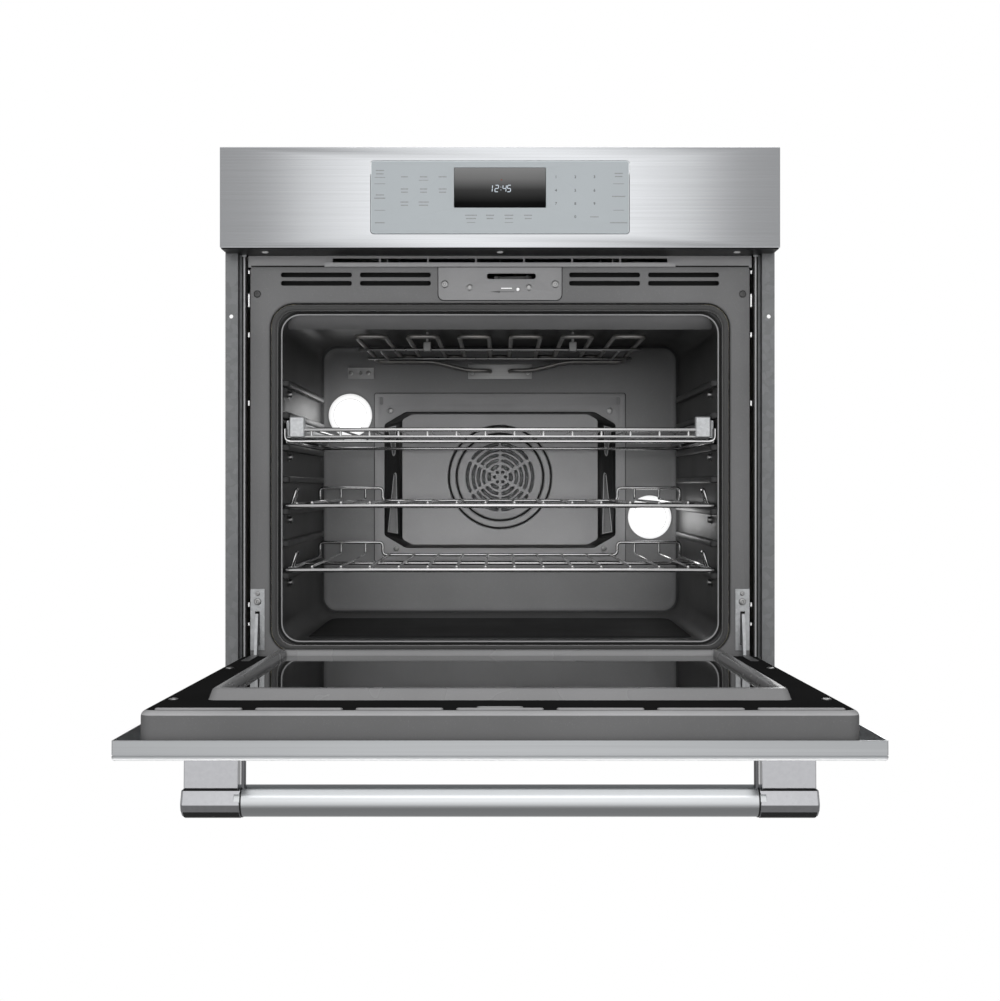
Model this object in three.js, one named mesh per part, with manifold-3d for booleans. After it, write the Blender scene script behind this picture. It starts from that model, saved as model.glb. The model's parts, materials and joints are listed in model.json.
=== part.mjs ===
// A built-in electric wall oven, with its drop-down door open.
//
// Units are millimetres. X runs to the oven's right hand, Y into the cabinet and Z up. The pieces are laid
// out from the cabinet face, the plane y = 0 that the side flanges press on. The last lines move the whole
// oven back, so that its origin is the middle of the underside of the base.
import * as THREE from "three";
import { mergeVertices } from "three/addons/utils/BufferGeometryUtils.js";
import Module from "manifold-3d";

const wasm = await Module();
wasm.setup();

// ---- Driving dimensions ----

const SHEET = 1.2; // sheet steel
const GAP = 0.3; // between two pieces that rest on each other
const CLEAR = 1; // between a piece and one that moves past it

// Whole appliance.
const OVERALL_WIDTH = 756;
const OVERALL_HEIGHT = 740;
const FRONT_PROUD = 40; // how far the fascia and the shut door stand out of the cabinet face
const FASCIA_HEIGHT = 136;
const CHASSIS_DEPTH = 574;
const CHASSIS_SIDE_MARGIN = 21; // from the edge of the front in to the chassis
const CHASSIS_TOP_MARGIN = 28;
const CHASSIS_LIP = 22;
const FLANGE_WIDTH = 16;
const FLANGE_SCREW_HEIGHTS = [20, 516];
const FLANGE_SCREW_HOLE = 2.8;
const BOTTOM_TRIM_TOP = 28;

// Cavity, from its mouth inwards.
const CAVITY_SIDE_MARGIN = 74; // from the edge of the front in to the cavity's wall
const CAVITY_TOP_MARGIN = 65; // from the top of the front frame down to the cavity's roof
const CAVITY_REAR_MARGIN = 109; // behind the cavity, for insulation, motor and lamps
const CAVITY_FLOOR = 66;
const CAVITY_MOUTH = 22;
const CAVITY_CORNER = 26;
const INSULATION = 32;

// Front frame, its slots, and the seal round the mouth.
const FRAME_SETBACK = 12;
const FRAME_SIDE_MARGIN = 32;
const FRAME_TOP_MARGIN = 18; // from the fascia down to the frame
const FRAME_BOTTOM = 32;
const FRAME_SLOT_LENGTH = 98;
const FRAME_SLOT_HEIGHT = 6.4;
const FRAME_SLOT_FIRST = 96;
const FRAME_SLOT_PITCH = 109.5;
const FRAME_SLOT_DROPS = [25.6, 14]; // from the top of the frame
const RECESS_MARGIN = 15; // from the cavity wall out to the edge of the frame's opening
const SEAL_WIDTH = 8;
const SEAL_INSET = 2.5; // from the edge of the frame's opening
const SEAL_CLEARANCE = 0.5; // to the shut door

// Vents over the front frame.
const VENT_SLOTS = 7;
const VENT_SIDE_MARGIN = 112.2; // from the frame's side in to the first slot
const VENT_BAR = 2.4;
const VENT_RISE = 6; // from the frame's top to the slots
const VENT_TOP_MARGIN = 5; // from the slots to the fascia
const VENT_LIP_MARGIN = 103;

// Door lock and switch, measured down from the top of the frame.
const LATCH_PLATE_WIDTH = 171;
const LATCH_PLATE_HEIGHT = 46;
const LATCH_SLOT = [-18, 49.6];
const LATCH_SLOT_HEIGHT = 7.6;
const LATCH_DROP = 13;
const LATCH_HOOK_X = 38;
const PLUNGER_X = 24.8;
const PLUNGER_DROP = 31.2;
const PLUNGER_RADIUS = 2.2;

// Ledges pressed into the side walls.
const LEDGE_COUNT = 7;
const LEDGE_FIRST = 156.5;
const LEDGE_PITCH = 45;
const LEDGE_HEIGHT = 10;
const LEDGE_DEPTH = 10;
const LEDGE_FRONT = 31;
const LEDGE_REAR_MARGIN = 37; // from the ledge's end to the back wall

// Door.
const DOOR_BOTTOM = 39;
const DOOR_TOP_GAP = 6;
const DOOR_OPEN_DEGREES = 88.6;
const PIVOT_Y = -3.5;
const PIVOT_Z = 38.3;
const SKIN_DEPTH = 20;
const LINER_SIDE_MARGIN = 24;
const LINER_MARGIN = 7; // from the skin's ends to the liner's
const LINER_BACK = 8;
const GLASS_THICKNESS = 4;
const GLASS_FRAME_SIDE_INSET = 1; // inside the cavity's width
const GLASS_FRAME_FOOT_INSET = 6;
const GLASS_FRAME_HEAD_INSET = 7;
const GLASS_FRAME_RISE = 12;
const GLASS_FRAME_RAIL = 17;
const WINDOW_SIDE_MARGIN = 143;
const WINDOW_FOOT_MARGIN = 111;
const WINDOW_HEAD_MARGIN = 158;
const DOOR_SLOTS = 7;
const DOOR_SLOT_PITCH = 99;
const DOOR_SLOT_LENGTH = 82;
const DOOR_SLOT_HEIGHT = 3;
const DOOR_SLOT_BELOW_TOP = 11.5;
const LATCH_HOLE_SIDE = 21;

// Handle.
const HANDLE_RADIUS = 16;
const HANDLE_BELOW_TOP = 60;
const HANDLE_STANDOFF = 50; // from the skin to the bar's axis
const HANDLE_POST_WIDTH = 60;
const HANDLE_END_MARGIN = 57; // from the door's side to the handle's end

// Hinges.
const HINGE_SIDE_MARGIN = 42;
const HINGE_ARM = 4;
const HINGE_PIN = 4;
const HINGE_PIN_CLEARANCE = 0.4;
const HINGE_CHEEK = 1.5;
const HINGE_BOSS = 7;
const HINGE_SLOT_BOTTOM = 60;
const HINGE_SLOT_TOP = 112;
const HINGE_CHANNEL_TOP = 180;

// Racks.
const RACK_RAIL = 3.2;
const RACK_WIRE = 2;
const RACK_PITCH = 40.5;
const RACK_EDGE = 20; // from the rail in to the first wire, at least
const RACK_SIDE_GAP = 2.8; // from the rail to the cavity wall
const RACK_FRONT = 32;
const RACK_REAR_MARGIN = 77;
const RACK_BACKSTOP = 24;
const RACK_BACKSTOP_WIDTH = 104;
const LOWER_RACK_LEDGE = 0;
const MIDDLE_RACK_LEDGE = 2;
const UPPER_RACK_LEDGE = 4;

// Telescopic slides of the upper rack.
const SLIDE_WALL = 1.2;
const SLIDE_DEPTH = 9.5;
const SLIDE_HEIGHT = 24;
const SLIDE_ABOVE_LEDGE = 8.5;
const SLIDE_FRONT = 36;
const SLIDE_REAR_MARGIN = 33;

// Back wall fittings.
const LAMP_SIDE_MARGIN = 48; // from the lamp's axis to the side wall
const LAMP_UPPER_Z = 403;
const LAMP_LOWER_Z = 229;
const LAMP_RIM = 37;
const LAMP_HOLE = 30;
const PROBE_SIDE_MARGIN = 66;
const PROBE_DROP = 46; // from the roof
const FAN_Z = 297;
const FAN_RADIUS = 66;
const FAN_BLADES = 12;
const FAN_GUARD_RADIUS = 89;
const FAN_COVER_WIDTH = 428;
const FAN_COVER_BOTTOM = 154;
const FAN_COVER_TOP = 440;
const FAN_COVER_DEPTH = 33;
const FAN_HOLE = 9;
const FAN_SLOT_RINGS = [18.3, 28, 37, 45.5, 55.5];
const FAN_SLOT_WIDTH = 5.4;
const FAN_SECTORS = 6;
const SHAFT_RADIUS = 4;
const CONVECTION_RING = 78;
const CONVECTION_LEG_X = 14;
const CONVECTION_TUBE = 3.2;

// Broil element under the roof, and bake element under the floor.
const BROIL_DROP = 22;
const BROIL_PLATE_DROP = 43;
const BROIL_TUBE = 3.2;
const BROIL_FRONT = 98;
const BROIL_REAR_MARGIN = 47;
const BROIL_LEG_X = 17;
const BROIL_ROD = 2.2;
const BROIL_ROD_FRONT = 236;
const BROIL_ROD_REAR_MARGIN = 77;
const BROIL_HANGER_X = 109;
const HAIRPIN_WIDTH = 43;
const HAIRPIN_PITCH = 75;
const BAKE_SIDE_MARGIN = 64;
const BAKE_FRONT = 60;
const BAKE_REAR_MARGIN = 45;
const BAKE_TUBE = 3.2;

// Touch panel, measured up from the fascia's bottom.
const TOUCH_WIDTH = 348;
const TOUCH_HEIGHT = 98;
const TOUCH_RISE = 19;
const DISPLAY_WIDTH = 124;
const DISPLAY_HEIGHT = 54;
const DISPLAY_RISE = 35; // from the touch panel's bottom

// Cooling blower and supply, measured down from the top of the chassis.
const BLOWER_Y = 190;
const BLOWER_DROP = 80;
const BLOWER_RADIUS = 30;
const BLOWER_LENGTH = 300;
const BLOWER_BLADES = 12;
const CONDUIT_SIDE_MARGIN = 107;
const CONDUIT_DROP = 72;
const CONDUIT_HOLE = 12;

// Values that follow from the driving dimensions.
const halfWidth = OVERALL_WIDTH / 2;
const fasciaBottom = OVERALL_HEIGHT - FASCIA_HEIGHT;
const chassisSide = halfWidth - CHASSIS_SIDE_MARGIN;
const chassisTop = OVERALL_HEIGHT - CHASSIS_TOP_MARGIN;
const frameSide = halfWidth - FRAME_SIDE_MARGIN;
const frameTop = fasciaBottom - FRAME_TOP_MARGIN;
const cavitySide = halfWidth - CAVITY_SIDE_MARGIN;
const cavityTop = frameTop - CAVITY_TOP_MARGIN;
const cavityBack = CHASSIS_DEPTH - CAVITY_REAR_MARGIN;
const recessSide = cavitySide + RECESS_MARGIN;
const recessBottom = CAVITY_FLOOR - RECESS_MARGIN;
const recessTop = cavityTop + RECESS_MARGIN;
const recessCorner = CAVITY_CORNER + RECESS_MARGIN / 2;
const latchZ = frameTop - LATCH_DROP;
const latchPlateBottom = frameTop - LATCH_PLATE_HEIGHT;
const plungerZ = frameTop - PLUNGER_DROP;
const doorTop = fasciaBottom - DOOR_TOP_GAP;
const linerSide = halfWidth - LINER_SIDE_MARGIN;
const linerBottom = DOOR_BOTTOM + LINER_MARGIN;
const linerTop = doorTop - LINER_MARGIN;
const glassFrameSide = cavitySide - GLASS_FRAME_SIDE_INSET;
const glassFrameBottom = CAVITY_FLOOR + GLASS_FRAME_FOOT_INSET;
const glassFrameTop = cavityTop - GLASS_FRAME_HEAD_INSET;
const hingeX = halfWidth - HINGE_SIDE_MARGIN;
const hingeGap = HINGE_ARM / 2 + 0.6;
const ledgeTop = (n) => LEDGE_FIRST + n * LEDGE_PITCH + LEDGE_HEIGHT / 2;
const rackX = cavitySide - RACK_RAIL - RACK_SIDE_GAP;
const rackBack = cavityBack - RACK_REAR_MARGIN;
const slideEnd = cavityBack - SLIDE_REAR_MARGIN;
const lampX = cavitySide - LAMP_SIDE_MARGIN;
const probeX = PROBE_SIDE_MARGIN - cavitySide;
const probeZ = cavityTop - PROBE_DROP;
const broilZ = cavityTop - BROIL_DROP;
const broilPlateZ = cavityTop - BROIL_PLATE_DROP;
const broilBack = cavityBack - BROIL_REAR_MARGIN;
const bakeSide = cavitySide - BAKE_SIDE_MARGIN;
const bakeBack = cavityBack - BAKE_REAR_MARGIN;
const touchBottom = fasciaBottom + TOUCH_RISE;
const touchTop = touchBottom + TOUCH_HEIGHT;
const blowerZ = chassisTop - BLOWER_DROP;
const conduitX = chassisSide - CONDUIT_SIDE_MARGIN;
const conduitZ = chassisTop - CONDUIT_DROP;

// ---- Solids ----

// A closed geometry as a solid, with its faces turned outwards.
function solid(geometry) {
  const bare = new THREE.BufferGeometry();
  bare.setAttribute("position", geometry.getAttribute("position"));
  if (geometry.index) bare.setIndex(geometry.index);
  const merged = mergeVertices(bare, 1e-4);
  const found = merged.index.array;
  const triangles = [];
  for (let i = 0; i < found.length; i += 3) {
    const [a, b, c] = [found[i], found[i + 1], found[i + 2]];
    if (a !== b && b !== c && c !== a) triangles.push([a, b, c]);
  }
  const vertProperties = Float32Array.from(merged.attributes.position.array);
  const make = (list) =>
    new wasm.Manifold(new wasm.Mesh({ numProp: 3, vertProperties, triVerts: Uint32Array.from(list.flat()) }));
  const made = make(triangles);
  return made.volume() < 0 ? make(triangles.map(([a, b, c]) => [a, c, b])) : made;
}

const join = (...solids) => solids.reduce((whole, next) => whole.add(next));
const cut = (whole, ...tools) => tools.reduce((rest, tool) => rest.subtract(tool), whole);
const shift = (geometry, x, y, z) => solid(geometry.translate(x, y, z));

function box([x0, x1], [y0, y1], [z0, z1]) {
  const block = new THREE.BoxGeometry(x1 - x0, y1 - y0, z1 - z0);
  return shift(block, (x0 + x1) / 2, (y0 + y1) / 2, (z0 + z1) / 2);
}

const extrude = (shape, depth, curveSegments = 5) =>
  new THREE.ExtrudeGeometry(shape, { depth, bevelEnabled: false, curveSegments });

// A shape drawn in X and Z, from y0 to y1.
const throughY = (shape, y0, y1, curveSegments) =>
  shift(extrude(shape, y1 - y0, curveSegments).rotateX(Math.PI / 2), 0, y1, 0);

// A shape drawn in Y and Z, from x0 to x1.
function throughX(shape, x0, x1, curveSegments) {
  const turn = new THREE.Matrix4().makeBasis(
    new THREE.Vector3(0, 1, 0), new THREE.Vector3(0, 0, 1), new THREE.Vector3(1, 0, 0));
  return shift(extrude(shape, x1 - x0, curveSegments).applyMatrix4(turn), x0, 0, 0);
}

// A shape drawn in X and Y, from z0 to z1.
const throughZ = (shape, z0, z1, curveSegments) => shift(extrude(shape, z1 - z0, curveSegments), 0, 0, z0);

const outline = (...points) => new THREE.Shape(points.map(([a, b]) => new THREE.Vector2(a, b)));

function roundedRect(x0, x1, z0, z1, r) {
  const shape = new THREE.Shape();
  shape.absarc(x1 - r, z1 - r, r, 0, Math.PI / 2);
  shape.absarc(x0 + r, z1 - r, r, Math.PI / 2, Math.PI);
  shape.absarc(x0 + r, z0 + r, r, Math.PI, Math.PI * 1.5);
  shape.absarc(x1 - r, z0 + r, r, Math.PI * 1.5, Math.PI * 2);
  return shape;
}

function rod(axis, [a, b], radius, x, y, z, sides = 24) {
  const geometry = new THREE.CylinderGeometry(radius, radius, b - a, sides);
  if (axis === "x") return shift(geometry.rotateZ(Math.PI / 2), (a + b) / 2, y, z);
  if (axis === "z") return shift(geometry.rotateX(Math.PI / 2), x, y, (a + b) / 2);
  return shift(geometry, x, (a + b) / 2, z);
}

// Two rings with the same number of points, joined by a wall and closed by flat ends.
function loft(front, back) {
  const points = [...front, ...back];
  const n = front.length;
  const index = [];
  for (let i = 0; i < n; i += 1) {
    const next = (i + 1) % n;
    index.push(i, next, n + next, i, n + next, n + i);
    if (i > 0 && i < n - 1) index.push(0, i + 1, i, n, n + i, n + i + 1);
  }
  const geometry = new THREE.BufferGeometry();
  geometry.setAttribute("position", new THREE.Float32BufferAttribute(points.flat(), 3));
  geometry.setIndex(index);
  return solid(geometry);
}

// A wire's centre line, with a ring of its tube at every listed point.
class WirePath extends THREE.Curve {
  constructor(points) {
    super();
    this.points = points;
  }
  getUtoTmapping(u) {
    return u;
  }
  getPoint(t, target = new THREE.Vector3()) {
    const last = this.points.length - 1;
    const i = Math.min(Math.floor(t * last + 1e-9), last - 1);
    return target.lerpVectors(this.points[i], this.points[i + 1], t * last - i);
  }
}

// Corner points with each inner corner rounded.
function bent(corners, radius, steps = 3) {
  const at = corners.map(([x, y, z]) => new THREE.Vector3(x, y, z));
  const points = [at[0]];
  for (let i = 1; i < at.length - 1; i += 1) {
    const into = at[i - 1].clone().sub(at[i]);
    const out = at[i + 1].clone().sub(at[i]);
    const reach = Math.min(radius, into.length() * 0.49, out.length() * 0.49);
    const start = at[i].clone().addScaledVector(into.normalize(), reach);
    const end = at[i].clone().addScaledVector(out.normalize(), reach);
    points.push(...new THREE.QuadraticBezierCurve3(start, at[i], end).getPoints(steps));
  }
  points.push(at[at.length - 1]);
  return points;
}

function wire(corners, radius, { bend = 8, steps = 3, sides = 6 } = {}) {
  const points = bent(corners, bend, steps);
  const section = [];
  for (let i = 0; i < sides; i += 1) {
    const turn = (i / sides) * Math.PI * 2;
    section.push([Math.cos(turn) * radius, Math.sin(turn) * radius]);
  }
  const path = new WirePath(points);
  const options = { steps: points.length - 1, extrudePath: path };
  return solid(new THREE.ExtrudeGeometry(outline(...section), options));
}

const barX = (x0, x1, y, z, r) => wire([[x0, y, z], [x1, y, z]], r);
const mirrored = (made) => made.mirror([1, 0, 0]);
const bothSides = (made) => join(made, mirrored(made));

// ---- The scene ----

const oven = new THREE.Group();
oven.name = "wall_oven";
const door = new THREE.Group();
door.name = "door_assembly";
door.position.set(0, PIVOT_Y, PIVOT_Z);
door.rotation.x = THREE.MathUtils.degToRad(DOOR_OPEN_DEGREES);
oven.add(door);

const finish = (color, roughness, metalness, extra = {}) =>
  new THREE.MeshStandardMaterial({ color, roughness, metalness, ...extra });
const stainless = finish(0xc4c8cc, 0.32, 1);
const galvanised = finish(0xa9adb0, 0.5, 1);
const enamel = finish(0x3a3b3d, 0.35, 0.2);
const blackEnamel = finish(0x141416, 0.3, 0.2);
const chrome = finish(0xdfe2e4, 0.12, 1);
const elementMetal = finish(0x77797b, 0.45, 1);
const rubber = finish(0x3a3a3c, 0.75, 0);
const wool = finish(0xd9cfa8, 0.95, 0);
const darkGlass = finish(0x0b0c0e, 0.05, 0, { transparent: true, opacity: 0.75 });
const silverGlass = finish(0xb4bcc2, 0.15, 0.3);
const lampGlass = finish(0xffffff, 0.1, 0, { emissive: 0xffffff, emissiveIntensity: 1 });
const board = finish(0x1f5a3a, 0.6, 0);
const castAlloy = finish(0x9a9ca1, 0.4, 1);
const ceramic = finish(0xf0eee6, 0.5, 0);

function place(name, made, material, parent = oven) {
  const { numProp, vertProperties, triVerts } = made.getMesh();
  const count = vertProperties.length / numProp;
  const position = new Float32Array(count * 3);
  for (let i = 0; i < count; i += 1) {
    position.set(vertProperties.subarray(i * numProp, i * numProp + 3), i * 3);
  }
  const geometry = new THREE.BufferGeometry();
  geometry.setAttribute("position", new THREE.BufferAttribute(position, 3));
  geometry.setIndex(new THREE.BufferAttribute(triVerts, 1));
  geometry.computeVertexNormals();
  const mesh = new THREE.Mesh(geometry, material);
  mesh.name = name;
  parent.add(mesh);
  return mesh;
}

// A door piece is drawn where it stands when the door is shut.
const placeInDoor = (name, made, material) =>
  place(name, made.translate([0, -PIVOT_Y, -PIVOT_Z]), material, door);

// ---- Casing ----

function casing() {
  const inner = chassisSide - SHEET - GAP;
  const back = CHASSIS_DEPTH;
    const trayFront = SHEET + GAP;
  const trayBack = back - SHEET - GAP;
  const tray = join(
    box([-chassisSide, chassisSide], [trayFront, back], [0, SHEET]),
    bothSides(box([inner - SHEET, inner], [trayFront, trayBack], [0, CHASSIS_LIP])));
  place("base_pan", tray, galvanised);

  // Each side panel has a return at the front and one at the back.
  const sideBottom = SHEET + GAP;
  const sideTop = chassisTop - SHEET - GAP;
  const returnWidth = 6;
  const front = LINER_BACK + 2 * CLEAR; // clear of the shut door's liner
  const side = (a, b) => outline([a, front], [b, front], [b, back], [a, back]);
  const panel = cut(
    throughZ(side(chassisSide - returnWidth, chassisSide), sideBottom, sideTop),
    box([0, chassisSide - SHEET], [front + SHEET, back - SHEET], [0, OVERALL_HEIGHT]),
    box([0, inner + GAP], [back - SHEET - 1, back + 1], [0, OVERALL_HEIGHT]));
  const trimmed = cut(panel, box([0, inner + GAP], [0, front + SHEET + GAP], [0, CHASSIS_LIP + GAP]));
  place("side_panel_right", trimmed, galvanised);
  place("side_panel_left", mirrored(trimmed), galvanised);

  const cover = join(
    box([-chassisSide, chassisSide], [trayFront, back], [chassisTop - SHEET, chassisTop]),
    bothSides(box([inner - SHEET, inner], [30, trayBack], [chassisTop - CHASSIS_LIP, chassisTop])));
  const ventRow = [];
  for (let i = -4; i <= 4; i += 1) {
    ventRow.push(box([i * 60 - 22, i * 60 + 22], [back - 154, back - 146], [chassisTop - 5, chassisTop + 1]));
  }
  place("top_cover", cut(cover, ...ventRow), galvanised);

  const rearSide = inner - SHEET - GAP;
  const rear = box([-rearSide, rearSide], [back - SHEET, back], [SHEET + GAP, sideTop]);
  const louvres = [];
  for (let row = 0; row < 4; row += 1) {
    for (const side of [-1, 1]) {
      const x = side * 130;
      const z = 180 + row * 24;
      louvres.push(box([x - 35, x + 35], [back - 5, back + 1], [z, z + 8]));
    }
  }
  const cable = rod("y", [back - 10, back + 10], CONDUIT_HOLE, conduitX, 0, conduitZ);
  place("rear_panel", cut(rear, ...louvres, cable), galvanised);
}

// The flanges at the sides press on the cabinet face and take its screws.
function sideTrims() {
  const inner = halfWidth - FLANGE_WIDTH;
  const screwX = halfWidth - FLANGE_WIDTH / 2;
  const webEnd = 14;
  const profile = outline(
    [halfWidth, -1.5], [halfWidth, 0], [inner, 0], [inner, webEnd], [chassisSide + GAP, webEnd],
    [chassisSide + GAP, webEnd - SHEET], [inner - SHEET, webEnd - SHEET], [inner - SHEET, -1.5]);
  const bar = throughZ(profile, GAP, fasciaBottom - GAP);
  const holes = FLANGE_SCREW_HEIGHTS.map((z) => rod("y", [-5, 5], FLANGE_SCREW_HOLE, screwX, 0, z, 12));
  const trim = cut(bar, ...holes);
  place("side_trim_right", trim, galvanised);
  place("side_trim_left", mirrored(trim), galvanised);
}

function bottomTrim() {
  const side = halfWidth - FLANGE_WIDTH - SHEET - GAP;
  const strip = join(
    box([-side, side], [-2, -2 + SHEET], [0, BOTTOM_TRIM_TOP]),
    box([-side + 6, side - 6], [-2, SHEET + GAP - CLEAR], [0, SHEET]));
  const slots = [];
  for (let i = -3; i <= 3; i += 1) {
    slots.push(box([i * 90 - 36, i * 90 + 36], [-10, 10], [11, 17]));
  }
  place("bottom_trim", cut(strip, ...slots), stainless);
}

// ---- Front frame, vents and latch ----

const hingeSlot = (x, width, y0, y1) =>
  box([x - width / 2, x + width / 2], [y0, y1], [HINGE_SLOT_BOTTOM, HINGE_SLOT_TOP]);

function frontFrame() {
  const side = frameSide;
  const y0 = FRAME_SETBACK;
  const opening = roundedRect(-recessSide, recessSide, recessBottom, recessTop, recessCorner);
  const lipOuter = roundedRect(
    -recessSide - SHEET, recessSide + SHEET, recessBottom - SHEET, recessTop + SHEET, recessCorner + SHEET);
  const face = roundedRect(-side, side, FRAME_BOTTOM, frameTop, 6);
  const wall = cut(
    throughY(face, y0, y0 + 16, 3),
    throughY(roundedRect(-side + SHEET, side - SHEET, FRAME_BOTTOM + SHEET, frameTop - SHEET, 5),
      y0 + SHEET, y0 + 30, 3));
  const lip = throughY(lipOuter, y0 + SHEET / 2, CAVITY_MOUTH - GAP);
  const tools = [throughY(opening, y0 - 1, CAVITY_MOUTH + 1)];
  for (const drop of FRAME_SLOT_DROPS) {
    const z = frameTop - drop;
    for (const n of [0, 1]) {
      const x = FRAME_SLOT_FIRST + n * FRAME_SLOT_PITCH;
      const shape = roundedRect(x, x + FRAME_SLOT_LENGTH, z, z + FRAME_SLOT_HEIGHT, FRAME_SLOT_HEIGHT / 2.01);
      const slot = throughY(shape, y0 - 1, y0 + 3, 1);
      tools.push(slot, mirrored(slot));
    }
  }
  tools.push(
    box([LATCH_SLOT[0] - 12, LATCH_SLOT[1] + 12], [y0 - 1, y0 + 3], [latchPlateBottom + 8, frameTop - 6]));
  for (const x of [-hingeX, hingeX]) tools.push(hingeSlot(x, HINGE_ARM + 4, y0 - 1, y0 + 3));
  place("front_frame", cut(join(wall, lip), ...tools), enamel);
}

function ventGrille() {
  const side = frameSide + 4;
  const y0 = FRAME_SETBACK + 6;
  const bottom = frameTop + GAP;
  const slotBottom = frameTop + VENT_RISE;
  const pitch = (2 * (frameSide - VENT_SIDE_MARGIN)) / VENT_SLOTS;
  const plate = box([-side, side], [y0, y0 + SHEET], [bottom, fasciaBottom - SHEET - GAP]);
  const slots = [];
  for (let i = 0; i < VENT_SLOTS; i += 1) {
    const x = (i - VENT_SLOTS / 2) * pitch;
    slots.push(box([x + VENT_BAR / 2, x + pitch - VENT_BAR / 2], [y0 - 1, y0 + 3],
      [slotBottom, fasciaBottom - VENT_TOP_MARGIN]));
  }
  // The lip turns the air out over the top of the door.
  const front = FRAME_SETBACK - 2;
  const lip = throughX(
    outline([y0 + 0.5, bottom], [y0 + 0.5, bottom + SHEET], [front + SHEET, bottom + SHEET + 1],
      [front + SHEET, slotBottom], [front, slotBottom], [front, bottom]),
    VENT_LIP_MARGIN - frameSide, frameSide - VENT_LIP_MARGIN);
  place("vent_grille", join(cut(plate, ...slots), lip), enamel);
}

function latch() {
  const side = LATCH_PLATE_WIDTH / 2;
  const y1 = FRAME_SETBACK - GAP;
  const y0 = y1 - SHEET;
  const half = LATCH_SLOT_HEIGHT / 2;
  const plate = cut(
    throughY(roundedRect(-side, side, latchPlateBottom, frameTop - 1, 8), y0, y1, 3),
    throughY(roundedRect(...LATCH_SLOT, latchZ - half, latchZ + half, half / 1.01), y0 - 1, y1 + 1, 3),
    rod("y", [y0 - 1, y1 + 1], PLUNGER_RADIUS + 0.4, PLUNGER_X, 0, plungerZ, 12));
  place("latch_plate", plate, stainless);

  // The hook lies along the slot behind the plate, and turns forward through it into the shut door.
  const thick = 3;
  const hook = outline([-6, -5], [0, -7], [6, -5], [6, 5], [0, 7], [-30, 6], [-44, 6], [-46, 3], [-46, -4],
    [-40, -4], [-39, -1], [-30, -2]);
  const arm = cut(throughZ(hook, -thick / 2, thick / 2), rod("z", [-5, 5], 2.4, 0, 0, 0, 12));
  const pivotY = FRAME_SETBACK + 14;
  place("latch_hook", arm.translate([LATCH_HOOK_X, pivotY, latchZ]), stainless);

  // The lock's motor carries the hook's pin.
  const mount = join(
    box([LATCH_HOOK_X - 62, LATCH_HOOK_X + 16], [FRAME_SETBACK + 4, FRAME_SETBACK + 60],
      [latchZ - 5.5, latchZ - 4]),
    rod("z", [latchZ - 4.5, latchZ + 3], 2, LATCH_HOOK_X, pivotY, 0, 12),
    rod("z", [latchZ - 18, latchZ - 5], 19, LATCH_HOOK_X - 20, FRAME_SETBACK + 40, 0, 20));
  place("latch_motor", mount, galvanised);

  // The door switch's plunger has a shoulder behind the plate.
  const tip = LINER_BACK + SEAL_CLEARANCE;
  const stem = rod("y", [tip, FRAME_SETBACK + 14], PLUNGER_RADIUS, PLUNGER_X, 0, plungerZ, 12);
  const shoulder = [FRAME_SETBACK + 0.5, FRAME_SETBACK + 2.5];
  place("switch_plunger",
    join(stem, rod("y", shoulder, PLUNGER_RADIUS + 1.6, PLUNGER_X, 0, plungerZ, 12)), ceramic);
}

// ---- Cavity and what lines it ----

function cavity() {
  const tubeOuter = roundedRect(
    -cavitySide - SHEET, cavitySide + SHEET, CAVITY_FLOOR - SHEET, cavityTop + SHEET, CAVITY_CORNER + SHEET);
  const tubeInner = roundedRect(-cavitySide, cavitySide, CAVITY_FLOOR, cavityTop, CAVITY_CORNER);
  const flange = roundedRect(
    -recessSide + GAP, recessSide - GAP, recessBottom + GAP, recessTop - GAP, recessCorner - GAP);
  const shell = cut(
    join(
      throughY(tubeOuter, CAVITY_MOUTH, cavityBack + SHEET, 3),
      throughY(flange, CAVITY_MOUTH, CAVITY_MOUTH + SHEET, 3)),
    throughY(tubeInner, CAVITY_MOUTH - 1, cavityBack, 3));
  const ledges = [];
  const ledgeEnd = cavityBack - LEDGE_REAR_MARGIN;
  for (let n = 0; n < LEDGE_COUNT; n += 1) {
    const z = LEDGE_FIRST + n * LEDGE_PITCH;
    const half = LEDGE_HEIGHT / 2;
    const [wall, edge] = [cavitySide + SHEET / 2, cavitySide - LEDGE_DEPTH];
    const rib = loft(
      [[wall, LEDGE_FRONT, z - half], [wall, LEDGE_FRONT, z + half], [wall, ledgeEnd, z + half],
        [wall, ledgeEnd, z - half]],
      [[edge, LEDGE_FRONT + 7, z - half + 2], [edge, LEDGE_FRONT + 7, z + half],
        [edge, ledgeEnd - 7, z + half], [edge, ledgeEnd - 7, z - half + 2]]);
    ledges.push(rib, mirrored(rib));
  }
  for (let n = 0; n < 4; n += 1) {
    const z = LEDGE_FIRST + 10 + (2 * n - 0.5) * LEDGE_PITCH;
    const stud = rod("x", [cavitySide - 4.5, cavitySide + SHEET / 2], 6, 0, 84, z, 10);
    ledges.push(stud, mirrored(stud));
  }
  const hole = (x, z, r, sides) => rod("y", [cavityBack - 5, cavityBack + 5], r, x, 0, z, sides);
  const holes = [
    hole(0, FAN_Z, FAN_HOLE, 16),
    hole(-lampX, LAMP_UPPER_Z, LAMP_HOLE),
    hole(lampX, LAMP_LOWER_Z, LAMP_HOLE),
    hole(probeX, probeZ, 4, 10),
  ];
  for (const side of [-1, 1]) {
    holes.push(hole(side * BROIL_LEG_X, broilPlateZ, 5, 10));
    holes.push(hole(side * CONVECTION_LEG_X, FAN_Z - CONVECTION_RING, 5, 10));
  }
  place("oven_cavity", cut(join(shell, ...ledges), ...holes), enamel);
}

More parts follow.
